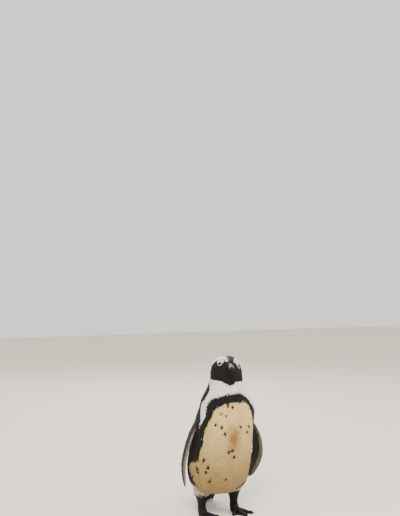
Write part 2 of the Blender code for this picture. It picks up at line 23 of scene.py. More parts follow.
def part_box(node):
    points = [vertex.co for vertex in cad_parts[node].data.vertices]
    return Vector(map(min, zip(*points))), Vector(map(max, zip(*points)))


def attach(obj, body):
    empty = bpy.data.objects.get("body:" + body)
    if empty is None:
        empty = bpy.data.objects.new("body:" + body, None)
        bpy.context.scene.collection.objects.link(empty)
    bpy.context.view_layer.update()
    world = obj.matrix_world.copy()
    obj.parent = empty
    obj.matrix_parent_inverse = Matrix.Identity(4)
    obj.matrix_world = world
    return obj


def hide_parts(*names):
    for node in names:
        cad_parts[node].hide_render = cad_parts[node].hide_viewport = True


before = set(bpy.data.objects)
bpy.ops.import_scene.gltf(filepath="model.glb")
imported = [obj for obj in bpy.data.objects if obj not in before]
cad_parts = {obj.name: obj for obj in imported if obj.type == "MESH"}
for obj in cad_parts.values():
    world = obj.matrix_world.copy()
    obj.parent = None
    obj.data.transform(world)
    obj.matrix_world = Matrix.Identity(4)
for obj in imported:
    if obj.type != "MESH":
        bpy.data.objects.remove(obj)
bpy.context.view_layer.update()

LOG = logging.getLogger("penguin")
MM = 0.001
BODY = "root"
COLOUR_LAYER = "plumage"
VANE_LAYER = "vane_place"    # across and along each vane
BAKE_MAP = "OFBake"
PATCH = 0.003                # width of one vane's patch on the skin's unwrap

Outline = tuple[tuple[float, float], ...]


class Zone(Enum):
    """The part of the bird that a point of the skin belongs to, named as its CAD node."""

    HEAD = 0
    NECK = 1
    TRUNK = 2
    TAIL = 3
    FLIPPER_LEFT = 4
    FLIPPER_RIGHT = 5
    LEG_LEFT = 6
    LEG_RIGHT = 7
    FOOT_LEFT = 8
    FOOT_RIGHT = 9

    @property
    def node(self) -> str:
        """The zone's CAD node."""
        return self.name.lower()


class Side(Enum):
    """A side of the bird, as the sign of its x."""

    LEFT = 1
    RIGHT = -1

    @property
    def word(self) -> str:
        """The side's name, as CAD nodes and pieces have it."""
        return self.name.lower()


class Slot(Enum):
    """The record's material slots."""

    LIGHT_PLUMAGE = "plumage_light"
    DARK_PLUMAGE = "plumage_dark"
    FOOT = "foot_skin"
    BILL = "bill_horn"
    CLAW = "claw_horn"
    EYE = "eye_surface"


FLIPPER_ZONES = (Zone.FLIPPER_LEFT, Zone.FLIPPER_RIGHT)
LEG_ZONES = (Zone.LEG_LEFT, Zone.LEG_RIGHT)
FOOT_ZONES = (Zone.FOOT_LEFT, Zone.FOOT_RIGHT)


# ---- Numbers -----------------------------------------------------------------------------------
def linear(code: str) -> np.ndarray:
    """Turn an sRGB colour into linear light.

    Args:
        code: The colour as "#RRGGBB".

    Returns:
        Red, green and blue from 0 to 1.
    """
    value = np.array([int(code[i:i + 2], 16) for i in (1, 3, 5)]) / 255
    return np.where(value <= 0.04045, value / 12.92, ((value + 0.055) / 1.055) ** 2.4)


def rgba(code: str) -> tuple[float, ...]:
    """Give an sRGB hex colour as the four linear numbers that a socket takes."""
    return (*linear(code).tolist(), 1.0)


def mix(base: np.ndarray, over: np.ndarray, share: np.ndarray) -> np.ndarray:
    """Lay one colour over others.

    Args:
        base: The colours underneath.
        over: The colour on top.
        share: How much of it shows at each point, from 0 to 1.

    Returns:
        A colour for each point.
    """
    share = share[:, None]
    return base * (1 - share) + over * share


def ramp(value: np.ndarray, start: float, end: float) -> np.ndarray:
    """Rise smoothly from 0 at `start` to 1 at `end`.

    Args:
        value: The numbers to ramp.
        start: Where the ramp leaves 0.
        end: Where it reaches 1; it may lie below `start`.

    Returns:
        Numbers from 0 to 1.
    """
    t = np.clip((value - start) / (end - start), 0, 1)
    return t * t * (3 - 2 * t)


def unit(vectors: np.ndarray) -> np.ndarray:
    """Scale each row to length 1."""
    return vectors / np.maximum(np.linalg.norm(vectors, axis=1, keepdims=True), 1e-12)


def ripple(points: np.ndarray, wavelength: float, seed: int) -> np.ndarray:
    """A smooth, wandering number for each point, made of a few crossing waves.

    Args:
        points: Places in metres, one row each.
        wavelength: Mean distance between crests, in metres.
        seed: Picks the waves.

    Returns:
        Numbers of about -1 to 1.
    """
    random = np.random.default_rng(seed)
    total = np.zeros(len(points))
    waves = 7
    for _ in range(waves):
        heading = random.normal(size=3)
        heading *= 2 * math.pi / (wavelength * random.uniform(0.7, 1.4)) / np.linalg.norm(heading)
        total += np.sin(points @ heading + random.uniform(0, 2 * math.pi))
    return total / math.sqrt(waves)


def inside(outline: Outline, x: np.ndarray, y: np.ndarray) -> np.ndarray:
    """Tell which points lie inside a closed outline.

    Args:
        outline: The corners in order.
        x: First coordinate of each point.
        y: Second coordinate of each point.

    Returns:
        True for each point inside.
    """
    found = np.zeros(len(x), bool)
    for (x0, y0), (x1, y1) in zip(outline, outline[1:] + outline[:1]):
        if y0 == y1:
            continue
        crosses = (y0 > y) != (y1 > y)
        found ^= crosses & (x < (x1 - x0) * (y - y0) / (y1 - y0) + x0)
    return found


# ---- Meshes ------------------------------------------------------------------------------------
def active_mesh(name: str) -> bpy.types.Object:
    """Name the object that an operator has just made.

    Args:
        name: The name for it and its mesh.

    Returns:
        The object.
    """
    made = bpy.context.active_object
    made.name = name
    made.data.name = name
    return made


def select_only(*pieces: bpy.types.Object) -> None:
    """Select some objects alone and make the first one active.

    Args:
        pieces: The objects.
    """
    bpy.ops.object.select_all(action="DESELECT")
    for piece in pieces:
        piece.select_set(True)
    bpy.context.view_layer.objects.active = pieces[0]


@contextmanager
def edit_all(piece: bpy.types.Object) -> Iterator[None]:
    """Hold a piece in edit mode with all of it selected.

    Args:
        piece: The mesh object.

    Returns:
        A context, after which the piece is back in object mode.
    """
    select_only(piece)
    bpy.ops.object.mode_set(mode="EDIT")
    bpy.ops.mesh.select_all(action="SELECT")
    yield
    bpy.ops.object.mode_set(mode="OBJECT")


def add_primitive(name: str, make: Callable, **settings: object) -> bpy.types.Object:
    """Add a primitive with nothing else selected, and apply its place to its mesh.

    Args:
        name: The new object's name.
        make: Blender's operator for the primitive.
        settings: The operator's settings.

    Returns:
        The object, selected alone.
    """
    bpy.ops.object.select_all(action="DESELECT")
    make(**settings)
    made = active_mesh(name)
    bpy.ops.object.transform_apply(location=True, rotation=True, scale=True)
    return made


def apply_modifier(piece: bpy.types.Object, kind: str, **settings: object) -> None:
    """Add a modifier with its settings and apply it.

    Args:
        piece: The mesh object.
        kind: Blender's type of modifier.
        settings: Values of the modifier's properties.
    """
    select_only(piece)
    modifier = piece.modifiers.new(kind.title(), kind)
    for name, value in settings.items():
        setattr(modifier, name, value)
    bpy.ops.object.modifier_apply(modifier=modifier.name)


def node_copy(node: str, name: str) -> bpy.types.Object:
    """Copy a CAD node's mesh as a new piece, with its loose triangles merged.

    Args:
        node: The CAD node.
        name: The new piece's name.

    Returns:
        The copy, which rides on nothing yet.
    """
    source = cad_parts[node]
    piece = bpy.data.objects.new(name, source.data.copy())
    piece.data.name = name
    piece.data.materials.clear()
    bpy.context.scene.collection.objects.link(piece)
    with edit_all(piece):
        bpy.ops.mesh.remove_doubles(threshold=0.01 * MM)
        bpy.ops.mesh.normals_make_consistent(inside=False)
    return piece


def vertex_places(mesh: bpy.types.Mesh) -> np.ndarray:
    """Read the places of a mesh's vertices.

    Args:
        mesh: The mesh.

    Returns:
        One row for each vertex.
    """
    values = np.empty(len(mesh.vertices) * 3, np.float32)
    mesh.vertices.foreach_get("co", values)
    return values.reshape(-1, 3).astype(float)


def vertex_normals(mesh: bpy.types.Mesh) -> np.ndarray:
    """Read the way that a mesh's vertices face.

    Args:
        mesh: The mesh.

    Returns:
        One unit vector for each vertex.
    """
    values = np.empty(len(mesh.vertices) * 3, np.float32)
    mesh.vertex_normals.foreach_get("vector", values)
    return values.reshape(-1, 3).astype(float)


def move_vertices(mesh: bpy.types.Mesh, places: np.ndarray) -> None:
    """Put a mesh's vertices at these places."""
    mesh.vertices.foreach_set("co", places.astype(np.float32).ravel())
    mesh.update()


def triangle_count(mesh: bpy.types.Mesh) -> int:
    """Count the triangles that a mesh's faces make."""
    return sum(len(polygon.vertices) - 2 for polygon in mesh.polygons)


def paint(mesh: bpy.types.Mesh, colours: np.ndarray) -> None:
    """Store the colours that the finishes read.

    Args:
        mesh: The mesh to colour.
        colours: One linear colour for each vertex.
    """
    layer = mesh.attributes.new(COLOUR_LAYER, "FLOAT_COLOR", "POINT")
    values = np.ones((len(colours), 4), np.float32)
    values[:, :3] = colours
    layer.data.foreach_set("color", values.ravel())


def finish_piece(piece: bpy.types.Object, material: bpy.types.Material) -> None:
    """Dress a piece, shade it smooth and set it on the bird.

    Args:
        piece: The mesh object.
        material: Its material.
    """
    piece.data.materials.clear()
    piece.data.materials.append(material)
    select_only(piece)
    bpy.ops.object.shade_smooth()
    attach(piece, BODY)
    LOG.info("%s: %d triangles", piece.name, triangle_count(piece.data))


# ---- Places on the bird ------------------------------------------------------------------------
class HeadPlace:
    """The head's own frame, found from both eyes and the bill's hook."""

    HOOK_DIP = math.radians(8.16)   # the hook's tip lies this far under the head's level line
    EYES_BACK = 0.0025              # the eyeballs' middle lies behind and under the frame's origin
    EYES_DOWN = 0.0005
    RIM_NEAR, RIM_FAR = 0.0090, 0.0150      # the skin round an eye, from the eyeball's middle
    BILL_ROOT = (0, 24, -3)                 # left, forward and up in millimetres

    def __init__(self) -> None:
        """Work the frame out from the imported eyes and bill."""
        left_eye = sum(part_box("eye_left"), Vector()) / 2
        right_eye = sum(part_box("eye_right"), Vector()) / 2
        middle = (left_eye + right_eye) / 2
        bill = [v.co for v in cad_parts["bill_upper"].data.vertices]
        tip = max(bill, key=lambda place: (place - middle).length)
        left = (left_eye - right_eye).normalized()
        along = tip - middle
        along = (along - left * along.dot(left)).normalized()
        self.left = left
        self.forward = Matrix.Rotation(-self.HOOK_DIP, 3, left) @ along
        self.up = self.forward.cross(left)
        self.eyes = {Side.LEFT: left_eye, Side.RIGHT: right_eye}
        self.origin = middle + self.forward * self.EYES_BACK + self.up * self.EYES_DOWN
        self.look = {side: self._facing(eye) for side, eye in self.eyes.items()}
        self.axes = np.array([self.left, self.forward, self.up])

    def _facing(self, eye: Vector) -> Vector:
        """Find the way that the head's surface faces round an eye.

        Args:
            eye: The eyeball's middle.

        Returns:
            A unit vector.
        """
        facing = Vector()
        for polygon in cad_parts["head"].data.polygons:
            gap = (polygon.center - eye).length
            if self.RIM_NEAR < gap < self.RIM_FAR and polygon.normal.dot(polygon.center - eye) > 0:
                facing += polygon.normal * polygon.area
        return facing.normalized()

    def local(self, points: np.ndarray) -> np.ndarray:
        """Give points as left, forward and up of the head, in millimetres."""
        return (points - np.array(self.origin)) @ self.axes.T / MM

    def world(self, left: float, forward: float, up: float) -> Vector:
        """Give the place of a point stated in millimetres in the head's frame."""
        return self.origin + (self.left * left + self.forward * forward + self.up * up) * MM

    def face_gaps(self, points: np.ndarray) -> tuple[np.ndarray, np.ndarray]:
        """Measure how far points lie from the face's bare parts.

        Args:
            points: Places in metres.

        Returns:
            Millimetres to the nearer eyeball's middle, and to the bill's root.
        """
        eyes = [np.linalg.norm(points - np.array(eye), axis=1) for eye in self.eyes.values()]
        bill = np.linalg.norm(points - np.array(self.world(*self.BILL_ROOT)), axis=1)
        return np.minimum(*eyes) / MM, bill / MM


def slices(nodes: tuple[str, ...], heights: np.ndarray) -> np.ndarray:
    """Measure level cuts through CAD nodes.

    Args:
        nodes: The nodes that are cut together.
        heights: Where to cut, in metres.

    Returns:
        For each height the least and greatest x, then the least and greatest y.
    """
    starts, ends = [], []
    for node in nodes:
        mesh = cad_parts[node].data
        places = vertex_places(mesh)
        edges = np.array([edge.vertices[:] for edge in mesh.edges])
        starts.append(places[edges[:, 0]])
        ends.append(places[edges[:, 1]])
    start, end = np.concatenate(starts), np.concatenate(ends)
    found = []
    for height in heights:
        cut = (start[:, 2] > height) != (end[:, 2] > height)
        t = (height - start[cut, 2]) / (end[cut, 2] - start[cut, 2])
        x, y = (start[cut, :2] + (end[cut, :2] - start[cut, :2]) * t[:, None]).T
        found.append((x.min(), x.max(), y.min(), y.max()))
    return np.array(found)


class BodyPlace:
    """Angle round the body, from the breast's middle to the bird's left, and height."""

    LOWEST, HIGHEST = 0.080, 0.412

    def __init__(self) -> None:
        """Find the middle of the body at even heights."""
        self.heights = np.linspace(self.LOWEST, self.HIGHEST, 30)
        cuts = slices(("trunk", "neck"), self.heights)
        self.middle_x = (cuts[:, 0] + cuts[:, 1]) / 2
        self.middle_y = (cuts[:, 2] + cuts[:, 3]) / 2

    def around(self, points: np.ndarray) -> tuple[np.ndarray, np.ndarray]:
        """Find where points lie round the body.

        Args:
            points: Places in metres.

        Returns:
            The angle in degrees, 0 in front and positive on the left, and the height in
            millimetres.
        """
        across = points[:, 0] - np.interp(points[:, 2], self.heights, self.middle_x)
        back = points[:, 1] - np.interp(points[:, 2], self.heights, self.middle_y)
        return np.degrees(np.arctan2(across, -back)), points[:, 2] / MM

class FlipperPlace:
    """Share of the chord and of the length at which a point lies on a flipper."""

    STATIONS = 24

    def __init__(self, node: str) -> None:
        """Measure the blade's leading and trailing edge at even heights.

        Args:
            node: The flipper's CAD node.
        """
        low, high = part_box(node)
        self.heights = np.linspace(low.z + MM, high.z - MM, self.STATIONS)
        cuts = slices((node,), self.heights)
        self.front, self.back = cuts[:, 2:].T
        self.middle = cuts[:, :2].mean(axis=1)

    def place(self, points: np.ndarray) -> tuple[np.ndarray, np.ndarray]:
        """Find points on the blade.

        Args:
            points: Places in metres.

        Returns:
            Share of the chord from the leading edge, and share of the length from the shoulder.
        """
        height = points[:, 2]
        front = np.interp(height, self.heights, self.front)
        back = np.interp(height, self.heights, self.back)
        along = (self.heights[-1] - height) / (self.heights[-1] - self.heights[0])
        return (points[:, 1] - front) / (back - front), along

    def run(self, points: np.ndarray) -> np.ndarray:
        """Find the way from shoulder to tip beside the nearest edge.

        Args:
            points: Places in metres.

        Returns:
            A vector for each point.
        """
        chord = np.clip(self.place(points)[0], 0, 1)
        slopes = [
            np.interp(points[:, 2], self.heights, np.gradient(edge, self.heights))
            for edge in (self.middle, self.front, self.back)
        ]
        down = -np.ones(len(points))
        return np.stack([-slopes[0], -slopes[1] * (1 - chord) - slopes[2] * chord, down], axis=1)




HEAD = HeadPlace()
TORSO = BodyPlace()
FLIPPERS = {zone: FlipperPlace(zone.node) for zone in FLIPPER_ZONES}


# ---- Markings ----------------------------------------------------------------------------------
@dataclass(frozen=True)
class Palette:
    """Colours of the plumage and the bare parts, as sRGB."""

    white: str = "#F2F0EB"
    belly_high: str = "#DFC37C"      # sand-stained belly feathers, palest on the breast
    # the lower belly's darker tan is painted shade over the sand stain
    belly_low: str = "#997D4C"
    stain: str = "#865B26"
    spot: str = "#20170F"
    trousers: str = "#B3A892"        # white over the legs, dulled by sand
    black: str = "#0E0B0A"
    mask: str = "#0E0A09"
    # crown: painted sheen, the sky's purple-grey reflection on black crown feathers
    crown: str = "#262330"
    # flipper: black of the outer face, and painted shade on the inner face, which is whitish in life
    flipper: str = "#120F0D"
    flipper_edge: str = "#857A68"
    flipper_rust: str = "#4A2A20"
    bare_pink: str = "#D8C8C2"
    leg: str = "#0C0A0B"
    foot: str = "#0E0D10"


# Outlines on the body as (angle, height): degrees to the bird's left and millimetres up.
BELLY_EDGE = (
    (-60, 60), (-68, 85), (-84, 122), (-96, 143), (-98, 156), (-93, 165), (-66, 177), (-66, 200),
    (-64, 220), (-64, 243), (-63, 266), (-59, 284), (-56, 302), (-53, 322), (-48, 333), (-38, 339),
    (-26, 343), (-8, 346), (10, 346), (22, 346), (31, 340), (34, 328), (38, 315), (43, 297),
    (49, 276), (56, 252), (60, 222), (63, 200), (66, 182), (71, 168), (74, 150), (75, 130),
    (73, 108), (68, 85), (60, 60),
)
BAND_EDGE = (
    (-102, 140), (-101, 226), (-90, 255), (-80, 274), (-72, 296), (-71, 310), (-73, 327),
    (-72, 343), (-66, 356), (-45, 363), (-31, 370), (-11, 373), (6, 373), (14, 375), (22, 371),
    (30, 366), (38, 360), (43, 349), (46, 338), (48, 328), (54, 319), (64, 309), (73, 294),
    (80, 274), (90, 255), (101, 226), (102, 140),
)
WHITE_EDGE = (
    (-87, 258), (-82, 265), (-81, 294), (-85, 305), (-89, 315), (-94, 326), (-94, 335),
    (-90, 342), (-87, 350), (-84, 358), (-84, 382), (-94, 392), (-104, 400), (-106, 440),
    (70, 440), (71, 400), (76, 388), (83, 375), (84, 358), (87, 350), (90, 342), (94, 335),
    (94, 326), (89, 315), (85, 305), (81, 294), (82, 265), (87, 258),
)
# Height at each angle of the dark line that parts the belly from the white over the legs.
THIGH_LINE = (
    (-125, 172), (-108, 159), (-96, 143), (-84, 123), (-74, 103), (-67, 85), (-60, 60), (12, 60),
    (19, 91), (27, 97), (34, 105), (48, 114), (62, 123), (78, 135), (92, 149), (104, 161), (125, 174),
)
# Height at each angle at which the black of the face ends round the throat.
MASK_FLOOR = (
    (-120, 409), (-84, 409), (-57, 410), (-46, 411), (-36, 411), (-30, 409), (-27, 400),
    (-15, 397), (-2, 398), (3, 400), (7, 406), (22, 406), (38, 405), (90, 405), (120, 406),
)
# The white stripe of the head, as (forward, up) of the eyes in millimetres.
HEAD_STRIPE = (
    (17, 9.5), (12.4, 12.7), (1.2, 17.5), (-7, 19), (-12, 17.5), (-15, 12), (-14, 0),
    (-13, -13), (-18, -28), (-24, -44), (-26, -60), (-42, -60), (-41, -46), (-40, -30),
    (-39, -16), (-38, 0), (-37, 12), (-32, 22), (-24, 27.2), (-11, 27), (-2, 23), (6.5, 19.4),
    (14, 14.8), (18, 11),
)
# Pink skin that runs from the eye up to the stripe, in the same measure.
BARE_PATCH = (
    (-7, 5), (-10, 9), (-14, 14), (-11, 19), (-3, 18.5), (3, 16), (9, 12), (8, 6), (5, 3), (0, 4),
)
CROWN_HALF_WIDTH = ((-40, 26), (-25, 19), (-11, 11.5), (0, 9.5), (16, 8.5))   # at each forward
BELLY_SPOTS = (
    # angle, height, half width and half height in millimetres
    (-24.7, 339.0, 2.6, 2.2), (-12.6, 336.0, 3.0, 2.4), (-37.4, 317.3, 2.0, 2.0),
    (-25.0, 310.7, 2.0, 2.0), (-43.4, 286.9, 2.2, 2.4), (-30.8, 278.4, 2.8, 2.6),
    (-22.5, 262.3, 2.8, 2.4), (8.6, 277.7, 2.8, 2.4), (30.1, 274.4, 3.0, 2.8),
    (25.7, 261.2, 2.7, 2.5), (-5.4, 213.7, 3.2, 2.6), (-11.2, 209.3, 3.0, 2.6),
    (-0.4, 194.6, 2.4, 2.2), (-54.3, 183.3, 3.0, 2.8), (-44.5, 165.5, 2.8, 2.6),
    (-47.2, 150.8, 2.6, 2.6), (-70.0, 159.4, 2.2, 3.2), (-66.5, 152.0, 2.0, 4.2),
    (-62.6, 145.5, 2.2, 2.8), (-79.8, 129.2, 2.8, 3.0), (-40.6, 124.6, 3.0, 2.8),
    (-11.1, 130.9, 2.4, 2.4),
)


class Markings:
    """The plumage's colours, the same for the skin and for the feathers over it."""

    # body, in degrees and millimetres as the outlines
    RAGGED_MM = 2.4              # how far the edges of the band stray
    RAGGED_DEGREES = 1.2
    BELLY_PALE, BELLY_DARK = 310, 100        # heights between which the belly darkens with painted shade
    STAIN_MIDDLE = (-3, 246)
    STAIN_REACH = (22, 42)       # millimetres across and up
    STAIN_STRENGTH = 0.92
    BREAST_DEGREE = 1.7          # millimetres across one degree of the breast
    BELLY_RADIUS = 100           # turns an angle on the belly into a width
    SPOT_REACH = 3.8             # how far a spot spreads past its stated size, squared
    THIGH_LINE_REACH = 4.5       # half its height
    THIGH_LINE_LOWEST = 70
    TROUSER_BACK = 112           # where the white over the legs gives way to the black back
    TROUSER_TOP = 99
    # head
    RAGGED_HEAD_MM = 0.7
    THROAT_RAGGED_MM = 1.2
    CROWN_LOW, CROWN_HIGH = 12, 26           # up of the eyes, where the mask turns to the crown's painted sheen
    CROWN_MIDDLE = 2.5
    NAPE_FROM = -41              # the nape is black behind the stripe, down to this height
    NAPE_LOW = 388
    # legs
    LEG_BARE, LEG_FEATHERED = 62, 72         # heights between which the leg's feathers begin

    def __init__(self, palette: Palette) -> None:
        """Keep the palette as linear colours.

        Args:
            palette: The sRGB colours.
        """
        self.tone = {name: linear(code) for name, code in vars(palette).items()}

    def _belly(self, points: np.ndarray, angle: np.ndarray, height: np.ndarray) -> np.ndarray:
        """Colours of sand-stained belly feathers, darkened lower down by painted shade, mottled, with
        the rusty stain in the middle.

        Args:
            points: Places in metres.
            angle: The angle of each round the body.
            height: The height of each in millimetres.

        Returns:
            A linear colour for each.
        """
        tone = self.tone
        # darker towards the bottom: painted shade
        tan = mix(tone["belly_high"], tone["belly_low"], ramp(height, self.BELLY_PALE, self.BELLY_DARK))
        mottle = 1 + 0.05 * ripple(points, 0.045, 5) + 0.03 * ripple(points, 0.014, 6)
        across = (angle - self.STAIN_MIDDLE[0]) * self.BREAST_DEGREE / self.STAIN_REACH[0]
        spread = across ** 2 + ((height - self.STAIN_MIDDLE[1]) / self.STAIN_REACH[1]) ** 2
        stain = self.STAIN_STRENGTH * np.exp(-spread * (1.1 + 0.35 * ripple(points, 0.02, 7)))
        return mix(tan, tone["stain"], stain) * mottle[:, None]

    def body(self, points: np.ndarray) -> np.ndarray:
        """Colours of trunk and neck.

        Args:
            points: Places in metres.

        Returns:
            A linear colour for each.
        """
        angle, height = TORSO.around(points)
        tone = self.tone
        colours = np.tile(tone["black"], (len(points), 1))
        ragged_angle = angle + self.RAGGED_DEGREES * ripple(points, 0.009, 51)
        ragged_height = height + self.RAGGED_MM * ripple(points, 0.008, 52)
        colours[inside(WHITE_EDGE, ragged_angle, height)] = tone["white"]
        colours[inside(BAND_EDGE, ragged_angle, ragged_height)] = tone["black"]
        belly = inside(BELLY_EDGE, ragged_angle, ragged_height)
        colours[belly] = self._belly(points, angle, height)[belly]
        for at, up, half_width, half_height in BELLY_SPOTS:
            across = (angle - at) * math.pi / 180 * self.BELLY_RADIUS
            reach = (across / half_width) ** 2 + ((height - up) / half_height) ** 2
            colours[(reach < self.SPOT_REACH) & belly] = tone["spot"]
        line = np.interp(angle, *zip(*THIGH_LINE)) + ripple(points, 0.01, 53)
        low = height < line
        colours[low] = tone["black"]
        top = self.TROUSER_TOP + self.RAGGED_MM * ripple(points, 0.009, 55)
        colours[low & (height < top) & (np.abs(angle) < self.TROUSER_BACK)] = tone["trousers"]
        on_line = np.abs(height - line) < self.THIGH_LINE_REACH
        colours[on_line & (line > self.THIGH_LINE_LOWEST)] = tone["black"]
        return colours

    def head(self, points: np.ndarray) -> np.ndarray:
        """Colours of the head above the throat.

        Args:
            points: Places in metres.

        Returns:
            A linear colour for each.
        """
        tone = self.tone
        angle, height = TORSO.around(points)
        left, forward, up = HEAD.local(points).T
        forward = forward + self.RAGGED_HEAD_MM * ripple(points, 0.007, 54)
        # the black mask turns upwards into the crown's purple-grey, a painted sheen
        colours = mix(
            np.tile(tone["mask"], (len(points), 1)), tone["crown"],
            ramp(up, self.CROWN_LOW, self.CROWN_HIGH),
        )
        crown_edge = np.interp(forward, *zip(*CROWN_HALF_WIDTH))
        beside = np.abs(left - self.CROWN_MIDDLE) > crown_edge
        colours[inside(BARE_PATCH, forward, up) & beside] = tone["bare_pink"]
        colours[inside(HEAD_STRIPE, forward, up) & beside] = tone["white"]
        floor = np.interp(angle, *zip(*MASK_FLOOR))
        below = height < floor + self.THROAT_RAGGED_MM * ripple(points, 0.009, 41)
        colours[below] = self.body(points[below])
        nape = (forward < self.NAPE_FROM) & (height > self.NAPE_LOW)
        colours[below & nape] = tone["black"]
        return colours

    def flipper(self, points: np.ndarray, zone: Zone, outer: np.ndarray) -> np.ndarray:
        """Colours of a flipper: dark, with a worn grey-brown leading edge. On the inner face, whitish
        in life, the dark is painted shade.

        Args:
            points: Places in metres.
            zone: Which flipper.
            outer: How far each point faces away from the body, from -1 to 1.

        Returns:
            A linear colour for each.
        """
        tone = self.tone
        chord, along = FLIPPERS[zone].place(points)
        # the edge's width is a share of the chord, and widens past the elbow
        streak = 0.5 + 0.5 * ripple(points * np.array([1, 1, 0.15]), 0.006, 21)
        width = 0.16 + 0.12 * ramp(along, 0.25, 0.6)
        edge = ramp(chord, width + 0.10, width - 0.06) * (0.55 + 0.45 * streak)
        edge = edge * ramp(along, 0.02, 0.2)
        rust = ramp(along, 0.62, 0.8) * ramp(outer, 0.1, -0.3) * ramp(chord, 0.25, 0.5) * 0.7
        trailing = ramp(chord, 0.93, 0.985) * 0.35
        colours = mix(np.tile(tone["flipper"], (len(points), 1)), tone["flipper_edge"], edge)
        colours = mix(colours, tone["flipper_rust"], rust)
        return mix(colours, tone["flipper_edge"], trailing)

    def leg(self, points: np.ndarray) -> np.ndarray:
        """Colours of a leg, bare and dark below and feathered above.

        Args:
            points: Places in metres.

        Returns:
            A linear colour for each.
        """
        height = points[:, 2] / MM + 3 * ripple(points, 0.012, 9)
        high = ramp(height, self.LEG_BARE, self.LEG_FEATHERED)
        return mix(self.tone["leg"], self.tone["trousers"], high)

    def colour(self, points: np.ndarray, zones: np.ndarray, normals: np.ndarray) -> np.ndarray:
        """Colours of any part of the bird.

        Args:
            points: Places in metres.
            zones: The zone's number for each.
            normals: The way that each faces.

        Returns:
            A linear colour for each.
        """
        colours = np.tile(self.tone["foot"], (len(points), 1))
        colours[zones == Zone.TAIL.value] = self.tone["black"]
        makers = {Zone.HEAD: self.head, Zone.NECK: self.head, Zone.TRUNK: self.body}
        makers |= {zone: self.leg for zone in LEG_ZONES}
        for zone, maker in makers.items():
            chosen = zones == zone.value
            colours[chosen] = maker(points[chosen])
        for zone, side in zip(FLIPPER_ZONES, Side):
            chosen = zones == zone.value
            outer = normals[chosen, 0] * side.value
            colours[chosen] = self.flipper(points[chosen], zone, outer)
        return colours


# ---- Finishes ----------------------------------------------------------------------------------
def add_node(
    tree: bpy.types.NodeTree, kind: str, inputs: dict | None = None, **properties: object
) -> bpy.types.Node:
    """Add one shader node with its settings and links.

    Args:
        tree: The material's node tree.
        kind: The node's type, without "ShaderNode".
        inputs: For each input, a value or the output socket that feeds it.
        properties: Values of the node's own properties.

    Returns:
        The node.
    """
    made = tree.nodes.new("ShaderNode" + kind)
    for name, value in properties.items():
        setattr(made, name, value)
    for name, value in (inputs or {}).items():
        if isinstance(value, bpy.types.NodeSocket):
            tree.links.new(value, made.inputs[name])
        else:
            made.inputs[name].default_value = value
    return made


def new_material(
    name: str, **settings: float
) -> tuple[bpy.types.Material, bpy.types.NodeTree, bpy.types.Node]:
    """Make a material with its Principled shader.

    Args:
        name: What the material really is.
        settings: Values of the shader's sockets, with _ for each space in their names.

    Returns:
        The material, its tree and the shader.
    """
    material = bpy.data.materials.new(name)
    material.use_nodes = True
    shader = material.node_tree.nodes["Principled BSDF"]
    for socket, value in settings.items():
        shader.inputs[socket.replace("_", " ")].default_value = value
    return material, material.node_tree, shader


def shade_paint(
    tree: bpy.types.NodeTree, shader: bpy.types.Node, pattern: bpy.types.NodeSocket,
    shades: tuple[float, float], levels: tuple[float, float] = (0.0, 1.0),
) -> None:
    """Feed a shader the piece's painted colours, made darker and paler by a pattern.

    Args:
        tree: The material's node tree.
        shader: The shader that takes the colour.
        pattern: The pattern's output.
        shades: What the colour is multiplied by at each end of the pattern.
        levels: The pattern's numbers at its two ends.
    """
    colour = add_node(tree, "Attribute", attribute_name=COLOUR_LAYER)
    shade = add_node(tree, "MapRange", {
        "Value": pattern, "From Min": levels[0], "From Max": levels[1],
        "To Min": shades[0], "To Max": shades[1],
    })
    tint = add_node(tree, "VectorMath", {
        0: colour.outputs["Color"], 1: shade.outputs["Result"],
    }, operation="MULTIPLY")
    tree.links.new(tint.outputs["Vector"], shader.inputs["Base Color"])


@dataclass(frozen=True)
class VaneFinish:
    """Feather vane: matt keratin barbs that shine a little where they lie side by side."""

    name: str
    roughness: float = 0.68
    sheen: float = 0.04
    wear_mm: float = 9.0             # patches of dust and wear, a few feathers wide
    barbs: float = 13.0              # along a vane; real ones are finer and more
    barb_slant: float = 0.7

    def material(self) -> bpy.types.Material:
        """Build the material that reads each vane's own colour.

        Returns:
            The material.
        """
        material, tree, shader = new_material(
            self.name, Roughness=self.roughness, Specular_IOR_Level=0.16,
            Sheen_Weight=self.sheen, Sheen_Roughness=0.45,
        )
        place = add_node(tree, "TexCoord")
        wear = add_node(tree, "TexNoise", {
            "Vector": place.outputs["Object"], "Scale": 1 / (self.wear_mm * MM), "Detail": 3.0,
        })
        shade_paint(tree, shader, wear.outputs["Fac"], (0.90, 1.10), (0.3, 0.7))
        on_vane = add_node(tree, "Attribute", attribute_name=VANE_LAYER)
        folded = add_node(tree, "VectorMath", {0: on_vane.outputs["Vector"]}, operation="ABSOLUTE")
        slant = add_node(tree, "VectorMath", {
            0: folded.outputs["Vector"], 1: (-self.barb_slant, 1.0, 0.0),
        }, operation="DOT_PRODUCT")
        turn = add_node(tree, "Math", {
            0: slant.outputs["Value"], 1: 2 * math.pi * self.barbs,
        }, operation="MULTIPLY")
        barbs = add_node(tree, "Math", {0: turn.outputs["Value"]}, operation="SINE")
        bump = add_node(tree, "Bump", {
            "Height": barbs.outputs["Value"], "Strength": 0.35, "Distance": 0.06 * MM,
        })
        tree.links.new(bump.outputs["Normal"], shader.inputs["Normal"])
        return material


